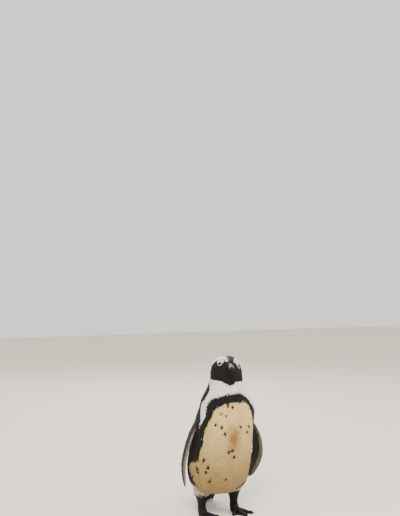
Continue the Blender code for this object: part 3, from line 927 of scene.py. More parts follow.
@dataclass(frozen=True)
class SkinFinish:
    """Bird skin: soft and matt, creased finely on the face and coarsely on the feet."""

    name: str = "bird_skin"
    roughness: float = 0.65
    shine: float = 0.2
    crease_mm: float = 1.6           # between creases

    def material(self) -> bpy.types.Material:
        """Build the material from the skin's own markings, with fine creases, bumped and darkened by
        painted shade.

        Returns:
            The material.
        """
        material, tree, shader = new_material(
            self.name, Roughness=self.roughness, Specular_IOR_Level=self.shine
        )
        place = add_node(tree, "TexCoord")
        creases = add_node(tree, "TexVoronoi", {
            "Vector": place.outputs["Object"], "Scale": 1 / (self.crease_mm * MM),
        }, feature="DISTANCE_TO_EDGE")
        soft = add_node(tree, "MapRange", {
            "Value": creases.outputs["Distance"], "From Max": 0.25,
        })
        # the colour darkens into each crease: painted shade
        shade_paint(tree, shader, soft.outputs["Result"], (0.72, 1.04))
        bump = add_node(tree, "Bump", {
            "Height": soft.outputs["Result"], "Strength": 0.5, "Distance": 0.2 * MM,
        })
        tree.links.new(bump.outputs["Normal"], shader.inputs["Normal"])
        return material


@dataclass(frozen=True)
class HornFinish:
    """Horn sheath: keratin grown in layers, satin where it is rubbed and dull where scuffed."""

    name: str
    roughness: float = 0.46
    coat: float = 0.0
    scuff_mm: float = 2.5            # between scuffs
    scuff_levels: tuple[float, float] = (0.3, 0.7)

    def material(self) -> bpy.types.Material:
        """Build the material from the painted colour, with scuffs.

        Returns:
            The material.
        """
        material, tree, shader = new_material(
            self.name, Specular_IOR_Level=0.18, Coat_Weight=self.coat, Coat_Roughness=0.2
        )
        low, high = self.scuff_levels
        place = add_node(tree, "TexCoord")
        scuffs = add_node(tree, "TexNoise", {
            "Vector": place.outputs["Object"], "Scale": 1 / (self.scuff_mm * MM), "Detail": 5.0,
        })
        shade_paint(tree, shader, scuffs.outputs["Fac"], (0.85, 1.15), self.scuff_levels)
        gloss = add_node(tree, "MapRange", {
            "Value": scuffs.outputs["Fac"], "From Min": low, "From Max": high,
            "To Min": self.roughness - 0.08, "To Max": self.roughness + 0.14,
        })
        bump = add_node(tree, "Bump", {
            "Height": scuffs.outputs["Fac"], "Strength": 0.2, "Distance": 0.2 * MM,
        })
        tree.links.new(gloss.outputs["Result"], shader.inputs["Roughness"])
        tree.links.new(bump.outputs["Normal"], shader.inputs["Normal"])
        return material


@dataclass(frozen=True)
class EyeFinish:
    """Wet cornea over a dark brown iris: all gloss, with hardly any colour."""

    name: str = "wet_eye"
    fibre_mm: float = 0.8            # between fibres of the iris

    def material(self) -> bpy.types.Material:
        """Build the glossy material from the painted iris.

        Returns:
            The material.
        """
        material, tree, shader = new_material(self.name, Roughness=0.06, IOR=1.34)
        place = add_node(tree, "TexCoord")
        fibres = add_node(tree, "TexNoise", {
            "Vector": place.outputs["Object"], "Scale": 1 / (self.fibre_mm * MM), "Detail": 3.0,
        })
        shade_paint(tree, shader, fibres.outputs["Fac"], (0.7, 1.3))
        return material


@dataclass(frozen=True)
class FloorFinish:
    """Uncoated paper: fully matt, and faintly cloudy from its fibres."""

    name: str = "matt_paper"
    tones: tuple[str, str] = ("#E6DDCD", "#ECE4D6")

    def material(self) -> bpy.types.Material:
        """Build the material with its clouds.

        Returns:
            The material.
        """
        material, tree, shader = new_material(self.name, Roughness=0.9)
        place = add_node(tree, "TexCoord")
        cloud = add_node(tree, "TexNoise", {
            "Vector": place.outputs["Object"], "Scale": 1.2, "Detail": 2.0,
        })
        tone = add_node(tree, "Mix", {
            0: cloud.outputs["Fac"], 6: rgba(self.tones[0]), 7: rgba(self.tones[1]),
        }, data_type="RGBA")
        tree.links.new(tone.outputs[2], shader.inputs["Base Color"])
        return material


# ---- Skin --------------------------------------------------------------------------------------
@dataclass
class Skin:
    """One closed skin in place of every node of flesh, inside them by the coat's depth."""

    voxel: float = 1.1 * MM
    bridge: float = 0.35 * MM        # growth that closes the thin cuts between the nodes
    plug_depth: float = 0.7 * MM     # how far the plugs lie under the eyes and the bill
    plug_end: float = 34.0           # forward of the eyes in millimetres
    broad_passes: int = 150          # smoothing that takes the flats off trunk and neck
    broad_levels: int = 20           # steps in which that smoothing fades out
    fine_passes: int = 5
    ground_rounds: int = 120         # blur of the growth that gives the broad forms back their girth
    most_ground: float = 6 * MM
    most_triangles: int = 170_000
    depth_mm: dict[Zone, float] = field(default_factory=lambda: {
        Zone.HEAD: 0.6, Zone.NECK: 0.8, Zone.TRUNK: 0.9, Zone.TAIL: 1.0,
        Zone.FLIPPER_LEFT: 0.20, Zone.FLIPPER_RIGHT: 0.20,
        Zone.LEG_LEFT: 0.6, Zone.LEG_RIGHT: 0.6,
        Zone.FOOT_LEFT: 0.25, Zone.FOOT_RIGHT: 0.25,
    })
    broad_share: dict[Zone, float] = field(default_factory=lambda: {
        Zone.HEAD: 0.10, Zone.NECK: 1.0, Zone.TRUNK: 1.0,
        Zone.LEG_LEFT: 0.04, Zone.LEG_RIGHT: 0.04,
    })

    def build(self, markings: Markings, finish: SkinFinish) -> None:
        """Model, inset, unwrap, colour and dress the skin.

        Args:
            markings: The plumage's colours.
            finish: The skin's material.
        """
        self._find = self._zone_finder()
        self.piece = self._fuse()
        self._smooth()
        self._inset()
        self._thin()
        mesh = self.piece.data
        with edit_all(self.piece):
            bpy.ops.uv.smart_project(angle_limit=math.radians(66), island_margin=0.002)
        mesh.uv_layers[0].name = BAKE_MAP
        self.places = vertex_places(mesh)
        self.normals = vertex_normals(mesh)
        self.zones = self.zone_of(self.places)
        paint(mesh, markings.colour(self.places, self.zones, self.normals))
        self._measure_faces(mesh)
        finish_piece(self.piece, finish.material())
        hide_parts(*(zone.node for zone in Zone))

    def zone_of(self, points: np.ndarray) -> np.ndarray:
        """Number of the zone whose CAD node lies nearest to each point."""
        tree, owner = self._find
        return np.array([owner[tree.find_nearest(p)[2]] for p in points.tolist()])

    def _zone_finder(self) -> tuple[BVHTree, np.ndarray]:
        """Join the flesh nodes' faces in one search tree.

        Returns:
            The tree, and the zone's number for each of its faces.
        """
        places, faces, owner = [], [], []
        for zone in Zone:
            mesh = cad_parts[zone.node].data
            start = len(places)
            places += [v.co.copy() for v in mesh.vertices]
            faces += [[start + i for i in p.vertices] for p in mesh.polygons]
            owner += [zone.value] * len(mesh.polygons)
        return BVHTree.FromPolygons(places, faces), np.array(owner)

    def _fuse(self) -> bpy.types.Object:
        """Grow copies of the flesh nodes until they meet and make them one closed mesh.

        Returns:
            The skin, still with its voxel steps.
        """
        copies = []
        for zone in Zone:
            piece = node_copy(zone.node, f"skin_{zone.node}")
            with edit_all(piece):
                bpy.ops.transform.shrink_fatten(value=self.bridge)
            copies.append(piece)
        for node in ("bill_upper", "bill_lower", "eye_left", "eye_right"):
            copies.append(self._plug(node))
        select_only(*copies)
        bpy.ops.object.join()
        skin = active_mesh("skin")
        apply_modifier(skin, "REMESH", mode="VOXEL", voxel_size=self.voxel)
        return skin

    def _plug(self, node: str) -> bpy.types.Object:
        """Fill the hollow round an eye or the bill's root, so that the skin closes on it.

        Args:
            node: The CAD node that sits in the hollow.

        Returns:
            A copy that lies a little under the node's surface.
        """
        piece = node_copy(node, f"skin_{node}")
        with edit_all(piece):
            bpy.ops.transform.shrink_fatten(value=-self.plug_depth)
            if node.startswith("bill"):
                bpy.ops.mesh.bisect(
                    plane_co=HEAD.world(0, self.plug_end, 0), plane_no=HEAD.forward,
                    use_fill=True, clear_outer=True,
                )
        return piece

    def _smooth(self) -> None:
        """Take the flats off the broad forms, and the voxel steps off all of it."""
        mesh = self.piece.data
        zones = self.zone_of(vertex_places(mesh))
        share = np.array([self.broad_share.get(zone, 0.0) for zone in Zone])
        weights = self._spread(mesh, share[zones], 12)
        self.broad_weights = weights
        group = self.piece.vertex_groups.new(name="broad")
        levels = np.round(weights * self.broad_levels)
        for level in range(1, self.broad_levels + 1):
            group.add(np.flatnonzero(levels == level).tolist(), level / self.broad_levels, "REPLACE")
        apply_modifier(
            self.piece, "SMOOTH", factor=0.9, iterations=self.broad_passes, vertex_group="broad"
        )
        apply_modifier(self.piece, "SMOOTH", factor=0.5, iterations=self.fine_passes)

    def _inset(self) -> None:
        """Draw the skin in by the coat's depth, and by the growth that closed the cuts."""
        mesh = self.piece.data
        places, normals = vertex_places(mesh), vertex_normals(mesh)
        zones = self.zone_of(places)
        depth = np.array([self.depth_mm[zone] for zone in Zone])[zones] * MM
        depth *= self._coat_share(places, zones)
        depth = self._spread(mesh, depth, 10)
        grown = self._lost_ground(places, normals) * self.broad_weights
        grown -= self.bridge * (1 - self.broad_weights)
        grown = self._spread(mesh, grown, self.ground_rounds)
        moved = places + normals * (grown - depth)[:, None]
        moved[:, 2] = np.maximum(moved[:, 2], 0.0)
        move_vertices(mesh, moved)
        apply_modifier(self.piece, "SMOOTH", factor=0.5, iterations=3)

    @staticmethod
    def _coat_share(points: np.ndarray, zones: np.ndarray) -> np.ndarray:
        """Share of the coat's depth at each point: least round the eyes and the bill's root.

        Args:
            points: Places in metres.
            zones: The zone's number for each.

        Returns:
            Numbers from 0 to 1.
        """
        share = np.ones(len(points))
        head = zones == Zone.HEAD.value
        eye, bill = HEAD.face_gaps(points[head])
        share[head] = (0.3 + 0.7 * ramp(eye, 9, 17)) * (0.4 + 0.6 * ramp(bill, 10, 26))
        return share

    def _lost_ground(self, places: np.ndarray, normals: np.ndarray) -> np.ndarray:
        """Find how far the solids' surface lies outside the smoothed skin.

        Args:
            places: The skin's vertices.
            normals: The skin's normals.

        Returns:
            A length for each vertex, no longer than `most_ground`.
        """
        tree, _ = self._find
        nearest = np.array([tree.find_nearest(place)[0] for place in places.tolist()])
        gap = ((nearest - places) * normals).sum(axis=1)
        return np.clip(gap, -self.most_ground, self.most_ground)

    def _thin(self) -> None:
        """Collapse edges until the piece is light enough."""
        now = triangle_count(self.piece.data)
        LOG.info("skin before thinning: %d triangles", now)
        apply_modifier(
            self.piece, "DECIMATE", ratio=min(1.0, self.most_triangles / now),
            use_collapse_triangulate=True,
        )

    def _spread(self, mesh: bpy.types.Mesh, values: np.ndarray, rounds: int) -> np.ndarray:
        """Blur a number over the mesh, so that it changes gently between zones.

        Args:
            mesh: The mesh that carries the values.
            values: One for each vertex.
            rounds: How many times each is averaged with its neighbours.

        Returns:
            The blurred values.
        """
        ends = np.empty(len(mesh.edges) * 2, np.int64)
        mesh.edges.foreach_get("vertices", ends)
        first, second = ends.reshape(-1, 2).T
        count = np.bincount(first, minlength=len(values)) + np.bincount(second, minlength=len(values))
        for _ in range(rounds):
            near = np.bincount(first, values[second], len(values))
            near += np.bincount(second, values[first], len(values))
            values = (values + near / np.maximum(count, 1)) / 2
        return values

    def _measure_faces(self, mesh: bpy.types.Mesh) -> None:
        """Keep the corners, areas, zones and unwrap of the skin's triangles for scattering.

        Args:
            mesh: The skin's mesh, unwrapped.
        """
        mesh.calc_loop_triangles()
        count = len(mesh.loop_triangles)
        corners = np.empty(count * 3, np.int64)
        loops = np.empty(count * 3, np.int64)
        mesh.loop_triangles.foreach_get("vertices", corners)
        mesh.loop_triangles.foreach_get("loops", loops)
        self.corners = corners.reshape(-1, 3)
        unwrap = np.empty(len(mesh.loops) * 2, np.float32)
        mesh.uv_layers[BAKE_MAP].data.foreach_get("uv", unwrap)
        self.unwrap = unwrap.reshape(-1, 2)[loops.reshape(-1, 3)]
        a, b, c = (self.places[self.corners[:, i]] for i in range(3))
        self.areas = np.linalg.norm(np.cross(b - a, c - a), axis=1) / 2
        self.face_zones = self.zones[self.corners[:, 0]]


# ---- Coat --------------------------------------------------------------------------------------
@dataclass(frozen=True)
class VaneShape:
    """The outline of one small feather, modelled once and copied over the skin."""

    name: str
    # for each ring: place along the vane, share of its width, rise of its middle, thickness
    rings: tuple[tuple[float, float, float, float], ...]

    def model(self) -> tuple[np.ndarray, np.ndarray]:
        """Model the vane round the origin, root at 0 and tip at 1 on Y.

        Returns:
            The vertices, and the corners of the triangles.
        """
        vane = add_primitive(
            self.name, bpy.ops.mesh.primitive_uv_sphere_add,
            segments=4, ring_count=len(self.rings) + 1, radius=0.5,
            location=(0, 0.5, 0), rotation=(math.radians(-90), 0, 0),
        )
        mesh = vane.data
        stations = np.round(vertex_places(mesh)[:, 1], 4)
        levels = np.unique(stations)[1:-1]
        for level, (along, width, rise, thickness) in zip(levels, self.rings):
            ring = stations == level
            radius = np.abs(vertex_places(mesh)[ring, 0]).max()
            for parts in (mesh.edges, mesh.polygons):
                parts.foreach_set("select", np.zeros(len(parts), bool))
            mesh.vertices.foreach_set("select", ring)
            bpy.ops.object.mode_set(mode="EDIT")
            bpy.ops.mesh.select_mode(type="VERT")
            bpy.ops.transform.resize(
                value=(width / 2 / radius, 1, thickness / 2 / radius), center_override=(0, level, 0)
            )
            bpy.ops.transform.translate(value=(0, along - level, rise))
            bpy.ops.object.mode_set(mode="OBJECT")
        with edit_all(vane):
            bpy.ops.mesh.quads_convert_to_tris()
            bpy.ops.mesh.normals_make_consistent(inside=False)
        places = vertex_places(mesh)
        faces = np.array([p.vertices[:] for p in mesh.polygons])
        bpy.data.objects.remove(vane, do_unlink=True)
        return places, faces


BODY_VANE = VaneShape("body_vane", ((0.30, 0.85, 0.02, 0.07), (0.74, 0.90, 0.01, 0.06)))
SHORT_VANE = VaneShape("short_vane", ((0.35, 0.90, 0.02, 0.08), (0.76, 0.82, 0.01, 0.06)))
SCUTE = VaneShape("scute", ((0.22, 0.80, 0.05, 0.28), (0.74, 0.90, 0.05, 0.28)))
QUILL_VANE = VaneShape("quill_vane", (
    (0.08, 0.30, 0.00, 0.30), (0.35, 0.80, 0.01, 0.26), (0.70, 1.00, 0.01, 0.22),
    (0.92, 0.70, 0.00, 0.16),
))


@dataclass(frozen=True)
class Tract:
    """A field of like feathers on some zones of the skin. Sizes are in millimetres."""

    name: str
    zones: tuple[Zone, ...]
    shape: VaneShape
    spacing: float
    length: float
    width: float
    lift: float                      # degrees that a vane stands off the skin
    unevenness: float = 0.12         # share by which size and angle vary
    sink: float = 0.25               # depth of the root under the skin
    tip_shine: float = 1.04          # painted highlight: the tip's colour over the root's
    fray: float = 1.5                # how far colours stray over an edge of the markings
    slot: Slot = Slot.DARK_PLUMAGE


TRACTS = (
    Tract("trunk", (Zone.TRUNK,), BODY_VANE, 1.62, 8.0, 2.3, 4.5, slot=Slot.LIGHT_PLUMAGE),
    Tract("neck", (Zone.NECK,), BODY_VANE, 1.5, 7.0, 2.1, 4.5, slot=Slot.LIGHT_PLUMAGE),
    Tract("head", (Zone.HEAD,), SHORT_VANE, 1.3, 5.0, 1.6, 4.5, sink=0.12, fray=0.5),
    Tract("flippers", FLIPPER_ZONES, SHORT_VANE, 1.35, 3.8, 1.7, 1.5, sink=0.06),
    Tract("tail", (Zone.TAIL,), BODY_VANE, 2.3, 12.0, 3.4, 5.0),
    Tract("quills", (Zone.TAIL,), QUILL_VANE, 5.2, 42.0, 6.0, 1.5, unevenness=0.06, sink=0.5),
    Tract("legs", LEG_ZONES, SHORT_VANE, 1.5, 4.6, 1.8, 4.5, unevenness=0.15),
    Tract("feet", FOOT_ZONES, SCUTE, 1.55, 1.9, 1.9, 0.0, sink=0.22, tip_shine=1.0, slot=Slot.FOOT),
)


class Coat:
    """All the small feathers, scattered over the skin tract by tract."""

    OVERSAMPLING = 7             # tries for each vane that fits
    PIECE_TRIANGLES = 190_000    # most in a piece
    SWING = 0.9                  # how far unevenness turns a vane along the skin
    LIFT_LIMITS = (-6, 40)       # degrees
    LOWEST_VERTEX = 0.1 * MM     # over the floor
    LOWEST_ROOT_MM = 0.8
    TAIL_STEEPNESS = 0.72        # how far a tail feather's tip lies under its root
    COLOUR_AT = 0.7              # where along a vane its colour is taken
    TONE_SPREAD = 0.07           # share by which one vane's colour differs from the next
    ROOT_SHADE = 0.90            # painted shade where the vanes overlap: the root's colour over the vane's
    TONE_LIMITS = (0.002, 0.95)
    BARE = 0.1                   # size share that marks skin with no feathers on it
    LIE_SOURCE = (0, 20, -2)     # the head's feathers point away from here, in its millimetres
    BODY_LIE = (0.0, 0.30, -1.0)
    TAIL_LIE = (0.10, 0.68, -0.72)
    LEG_LIE = (0.0, 0.05, -1.0)
    EYE_RING_MM = 10.6           # the bare skin round an eye ends this far from its middle

    def __init__(self, skin: Skin, markings: Markings) -> None:
        """Remember what the feathers grow on.

        Args:
            skin: The finished skin.
            markings: The plumage's colours.
        """
        self.skin = skin
        self.markings = markings
        self.surface = BVHTree.FromPolygons(skin.places.tolist(), skin.corners.tolist())

    def grow(self, tract: Tract, material: bpy.types.Material, seed: int) -> None:
        """Cover one tract with feathers, in as many pieces as it needs.

        Args:
            tract: The kind of feather and where it grows.
            material: The vanes' material.
            seed: Start of the tract's random numbers.
        """
        random = np.random.default_rng(seed)
        roots, normals, unwrap, zones = self._scatter(tract, random)
        shape, faces = tract.shape.model()
        places, coloured_at = self._lay(tract, shape, roots, normals, zones, random)
        coloured_at += random.normal(size=(len(roots), 3)) * tract.fray * MM
        colours = self.markings.colour(coloured_at, zones, normals)
        colours = colours * (1 + self.TONE_SPREAD * random.normal(size=(len(roots), 1)))
        # painted light along each vane: shade at the root, highlight at the tip
        painted_root_shade_tip_shine = self.ROOT_SHADE + (tract.tip_shine - self.ROOT_SHADE) * ramp(shape[:, 1], 0.3, 1.0)
        colours = np.clip(colours[:, None] * painted_root_shade_tip_shine[None, :, None], *self.TONE_LIMITS)
        patch = unwrap[:, None] + (shape[:, :2] - np.array([0, 0.5])) * PATCH
        for number, chosen in enumerate(self._share_out(roots, len(faces)), 1):
            piece = self._join(f"feathers_{tract.name}_{number}", places[chosen], faces)
            self._mark(piece.data, colours[chosen], patch[chosen], shape)
            finish_piece(piece, material)

    def _lay(
        self, tract: Tract, shape: np.ndarray, roots: np.ndarray, normals: np.ndarray,
        zones: np.ndarray, random: np.random.Generator,
    ) -> tuple[np.ndarray, np.ndarray]:
        """Copy a vane to every root, each turned, sized and lifted a little differently.

        Args:
            tract: The kind of feather.
            shape: Vertices of one vane in its own measure.
            roots: The places of the roots.
            normals: The skin's normals there.
            zones: The zone's number for each.
            random: The tract's random numbers.

        Returns:
            The vertices of each vane, and the place on each where its colour is taken.
        """
        size = self._size_share(roots, zones)
        wobble = random.normal(size=(len(roots), 4)) * tract.unevenness
        lie = self._lie(roots, normals, zones)
        along = unit(lie + unit(np.cross(lie, normals)) * wobble[:, :1] * self.SWING)
        side = unit(np.cross(along, normals))
        length = tract.length * MM * size * (1 + wobble[:, 1])
        width = tract.width * MM * size * (1 + 0.7 * wobble[:, 2])
        lift = np.radians(tract.lift) * (1 + 0.8 * wobble[:, 3])
        # a vane whose tip would sink rises all the way, and one that would gape comes halfway down
        reach = self._clearance(roots + along * length[:, None])
        lift -= np.where(reach < 0, 1.0, 0.5) * reach / length
        lift = np.clip(lift, *np.radians(self.LIFT_LIMITS))[:, None]
        out = along * np.cos(lift) + normals * np.sin(lift)
        rise = normals * np.cos(lift) - along * np.sin(lift)
        base = roots - normals * tract.sink * MM * size[:, None]
        x, y, z = shape.T
        places = (
            base[:, None]
            + side[:, None] * (x[None, :, None] * width[:, None, None])
            + out[:, None] * (y[None, :, None] * length[:, None, None])
            + rise[:, None] * (z[None, :, None] * width[:, None, None])
        )
        places[..., 2] = np.maximum(places[..., 2], self.LOWEST_VERTEX)
        return places, base + out * length[:, None] * self.COLOUR_AT

    def _clearance(self, points: np.ndarray) -> np.ndarray:
        """Find how high points stand over the skin, with less than 0 for those under it.

        Args:
            points: Places in metres.

        Returns:
            A height in metres for each.
        """
        found = [self.surface.find_nearest(point) for point in points.tolist()]
        nearest = np.array([hit[0] for hit in found])
        normals = np.array([hit[1] for hit in found])
        return ((points - nearest) * normals).sum(axis=1)

    def _scatter(
        self, tract: Tract, random: np.random.Generator
    ) -> tuple[np.ndarray, np.ndarray, np.ndarray, np.ndarray]:
        """Spread roots over the tract, no two closer than the spacing.

        Args:
            tract: The kind of feather and where it grows.
            random: The tract's random numbers.

        Returns:
            Place, normal, unwrap place and zone of each root.
        """
        skin = self.skin
        faces = np.flatnonzero(np.isin(skin.face_zones, [zone.value for zone in tract.zones]))
        spacing = tract.spacing * MM
        middle = skin.places[skin.corners[faces]].mean(axis=1)
        share = self._size_share(middle, skin.face_zones[faces])
        weight = skin.areas[faces] / share ** 2
        tries = int(self.OVERSAMPLING * weight.sum() / spacing ** 2)
        picked = faces[random.choice(len(faces), tries, p=weight / weight.sum())]
        a, b = random.random((2, tries))
        flip = a + b > 1
        a[flip], b[flip] = 1 - a[flip], 1 - b[flip]
        mix_of = np.stack([1 - a - b, a, b], axis=1)[:, :, None]
        corners = skin.corners[picked]
        places = (skin.places[corners] * mix_of).sum(axis=1)
        normals = unit((skin.normals[corners] * mix_of).sum(axis=1))
        unwrap = (skin.unwrap[picked] * mix_of).sum(axis=1)
        zones = skin.face_zones[picked]
        share = self._size_share(places, zones)
        steep = self.TAIL_STEEPNESS if Zone.TAIL in tract.zones else 0.0
        keep = self._thin_out(places, spacing * share) & (share > self.BARE)
        keep &= places[:, 2] > (self.LOWEST_ROOT_MM + steep * tract.length) * MM
        return places[keep], normals[keep], unwrap[keep], zones[keep]

    @staticmethod
    def _thin_out(places: np.ndarray, gaps: np.ndarray) -> np.ndarray:
        """Keep points in order, leaving out each that is too close to one kept before.

        Args:
            places: The points, in random order.
            gaps: The least distance round each.

        Returns:
            True for each point that stays.
        """
        listed = places.tolist()
        tree = KDTree(len(listed))
        for number, place in enumerate(listed):
            tree.insert(place, number)
        tree.balance()
        free, kept = np.ones(len(listed), bool), np.zeros(len(listed), bool)
        for number, place in enumerate(listed):
            if free[number]:
                kept[number] = True
                for _, other, _ in tree.find_range(place, gaps[number]):
                    free[other] = False
        return kept

    def _size_share(self, points: np.ndarray, zones: np.ndarray) -> np.ndarray:
        """Size of the feathers at each point, as a share of the tract's: least on the face.

        Args:
            points: Places in metres.
            zones: The zone's number for each.

        Returns:
            Numbers from `BARE` to 1.
        """
        share = np.ones(len(points))
        head = zones == Zone.HEAD.value
        eye, bill = HEAD.face_gaps(points[head])
        small = (0.45 + 0.55 * ramp(bill, 12, 45)) * (0.5 + 0.5 * ramp(eye, 11, 26))
        _, forward, up = HEAD.local(points[head]).T
        small[(eye < self.EYE_RING_MM) | inside(BARE_PATCH, forward, up)] = self.BARE
        share[head] = small
        neck = zones == Zone.NECK.value
        share[neck] = 0.68 + 0.32 * ramp(points[neck, 2], 0.408, 0.370)
        return share

    def _lie(self, points: np.ndarray, normals: np.ndarray, zones: np.ndarray) -> np.ndarray:
        """Find the way that the feathers point.

        Args:
            points: The roots.
            normals: The skin's normals there.
            zones: The zone's number for each.

        Returns:
            A unit vector along the skin for each root.
        """
        lie = np.tile(np.array(self.BODY_LIE), (len(points), 1))
        away = unit(points - np.array(HEAD.world(*self.LIE_SOURCE)))
        crown = np.isin(zones, [Zone.HEAD.value, Zone.NECK.value])
        down = ramp(points[:, 2], 0.455, 0.375)[:, None]
        lie[crown] = away[crown] * (1 - down[crown]) + lie[crown] * (0.25 + down[crown])
        for zone in FLIPPER_ZONES:
            on_blade = zones == zone.value
            lie[on_blade] = FLIPPERS[zone].run(points[on_blade])
        lie[zones == Zone.TAIL.value] = self.TAIL_LIE
        lie[np.isin(zones, [zone.value for zone in LEG_ZONES])] = self.LEG_LIE
        lie -= normals * (lie * normals).sum(axis=1, keepdims=True)
        return unit(lie)

    def _share_out(self, roots: np.ndarray, faces: int) -> list[np.ndarray]:
        """Divide roots into pieces light enough, each a patch of the body.

        Args:
            roots: The places of the roots.
            faces: Triangles in one vane.

        Returns:
            The numbers of the roots in each piece.
        """
        pieces = max(1, math.ceil(len(roots) * faces / self.PIECE_TRIANGLES))
        angle, height = TORSO.around(roots)
        order = np.argsort(-height) if pieces < 3 else np.argsort(angle)
        return np.array_split(order, pieces)

    @staticmethod
    def _join(name: str, places: np.ndarray, faces: np.ndarray) -> bpy.types.Object:
        """Make one mesh of many vanes.

        Args:
            name: The piece's name.
            places: Vertices of each vane.
            faces: Corners of one vane's triangles.

        Returns:
            The piece, with no material yet.
        """
        count, each = places.shape[:2]
        corners = (faces[None] + (np.arange(count) * each)[:, None, None]).reshape(-1)
        mesh = bpy.data.meshes.new(name)
        mesh.vertices.add(count * each)
        mesh.vertices.foreach_set("co", places.astype(np.float32).ravel())
        mesh.loops.add(len(corners))
        mesh.loops.foreach_set("vertex_index", corners.astype(np.int32))
        mesh.polygons.add(len(corners) // 3)
        mesh.polygons.foreach_set("loop_start", np.arange(0, len(corners), 3, dtype=np.int32))
        mesh.update(calc_edges=True)
        piece = bpy.data.objects.new(name, mesh)
        bpy.context.scene.collection.objects.link(piece)
        return piece

    @staticmethod
    def _mark(
        mesh: bpy.types.Mesh, colours: np.ndarray, patch: np.ndarray, shape: np.ndarray
    ) -> None:
        """Store what the finish and the bake read: colours, unwrap and place on the vane.

        Args:
            mesh: The mesh of many vanes.
            colours: Colours of each vane's vertices.
            patch: Places of each vane's vertices on the skin's unwrap.
            shape: Vertices of one vane in its own measure.
        """
        corners = np.empty(len(mesh.loops), np.int32)
        mesh.loops.foreach_get("vertex_index", corners)
        layer = mesh.uv_layers.new(name=BAKE_MAP)
        flat = np.clip(patch.reshape(-1, 2)[corners], 0.0005, 0.9995)
        layer.data.foreach_set("uv", flat.astype(np.float32).ravel())
        paint(mesh, colours.reshape(-1, 3))
        on_vane = mesh.attributes.new(VANE_LAYER, "FLOAT_VECTOR", "POINT")
        tiled = np.tile(shape, (len(colours), 1))
        on_vane.data.foreach_set("vector", tiled.astype(np.float32).ravel())


# ---- Bare parts --------------------------------------------------------------------------------
def press(piece: bpy.types.Object, line: list[Vector], width: float, depth: float) -> None:
    """Press a rounded groove into a piece, or raise a fold with a negative depth.

    Args:
        piece: The mesh object.
        line: Points that the groove runs through.
        width: Half the groove's width.
        depth: How deep it goes.
    """
    mesh = piece.data
    places, normals = vertex_places(mesh), vertex_normals(mesh)
    nearest = np.full(len(places), np.inf)
    for start, end in zip(line, line[1:]):
        start, step = np.array(start), np.array(end - start)
        t = np.clip((places - start) @ step / (step @ step), 0, 1)[:, None]
        nearest = np.minimum(nearest, np.linalg.norm(places - start - step * t, axis=1))
    share = np.exp(-(nearest / width) ** 2)
    move_vertices(mesh, places - normals * (share * depth)[:, None])


@dataclass(frozen=True)
class Bill:
    """The horn sheaths of both halves of the bill, each in its own piece."""

    voxel: float = 0.55 * MM
    band: tuple[float, float] = (54.0, 62.5)     # pale band, forward of the eyes in millimetres
    horn: str = "#0B0A0A"
    pale: str = "#8B8A6C"
    scuffed: str = "#1D1A19"

    def build(self, finish: HornFinish) -> None:
        """Model and dress both halves.

        Args:
            finish: The horn's material.
        """
        material = finish.material()
        for node in ("bill_upper", "bill_lower"):
            piece = node_copy(node, f"{node}_sheath")
            apply_modifier(piece, "REMESH", mode="VOXEL", voxel_size=self.voxel)
            apply_modifier(piece, "SMOOTH", factor=0.5, iterations=6)
            if node == "bill_upper":
                for side in reversed(Side):
                    self._groove(piece, side)
            paint(piece.data, self._colours(piece))
            finish_piece(piece, material)
            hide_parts(node)

    @staticmethod
    def _groove(piece: bpy.types.Object, side: Side) -> None:
        """Press in one side's long groove, the seam between its plates and its nostril slit.

        Args:
            piece: The upper sheath.
            side: Which side.
        """
        grooves = (
            # points in millimetres of the head's frame, half width, depth
            (((6.5, 36, 0.5), (5.2, 47, -2.2), (4.0, 57, -4.5)), 0.8, 0.45),
            (((7.5, 27, -4.0), (6.5, 40, -5.2), (5.0, 54, -7.6)), 0.6, 0.3),
            (((6.5, 33, 1.0), (6.2, 38, 0.0)), 0.75, 1.0),
        )
        for points, width, depth in grooves:
            line = [HEAD.world(side.value * out, forward, up) for out, forward, up in points]
            press(piece, line, width * MM, depth * MM)

    def _colours(self, piece: bpy.types.Object) -> np.ndarray:
        """Paint black horn with one pale band, broken along the ridge, and worn patches.

        Args:
            piece: One sheath.

        Returns:
            A linear colour for each vertex.
        """
        places = vertex_places(piece.data)
        left, forward, up = HEAD.local(places).T
        low, high = self.band
        bent = forward + 0.35 * (up + 5) + 0.8 * ripple(places, 0.006, 31)
        bent -= 4.5 * ramp(left, 0.0, 3.0)
        band = ramp(bent, low - 1.2, low + 1.2) * ramp(bent, high + 1.2, high - 1.2)
        # the band is broken along the ridge and fades out low on the bill: painted shade
        band *= ramp(np.abs(left), 0.5, 2.2) * (0.2 + 0.8 * ramp(up, -8, -2))
        # the lower half's band is dimmed: painted shade
        if piece.name.startswith("bill_lower"):
            band *= 0.45
        worn = 0.5 * ramp(ripple(places, 0.007, 32), 0.2, 1.4)
        return mix(mix(linear(self.horn), linear(self.scuffed), worn), linear(self.pale), band)


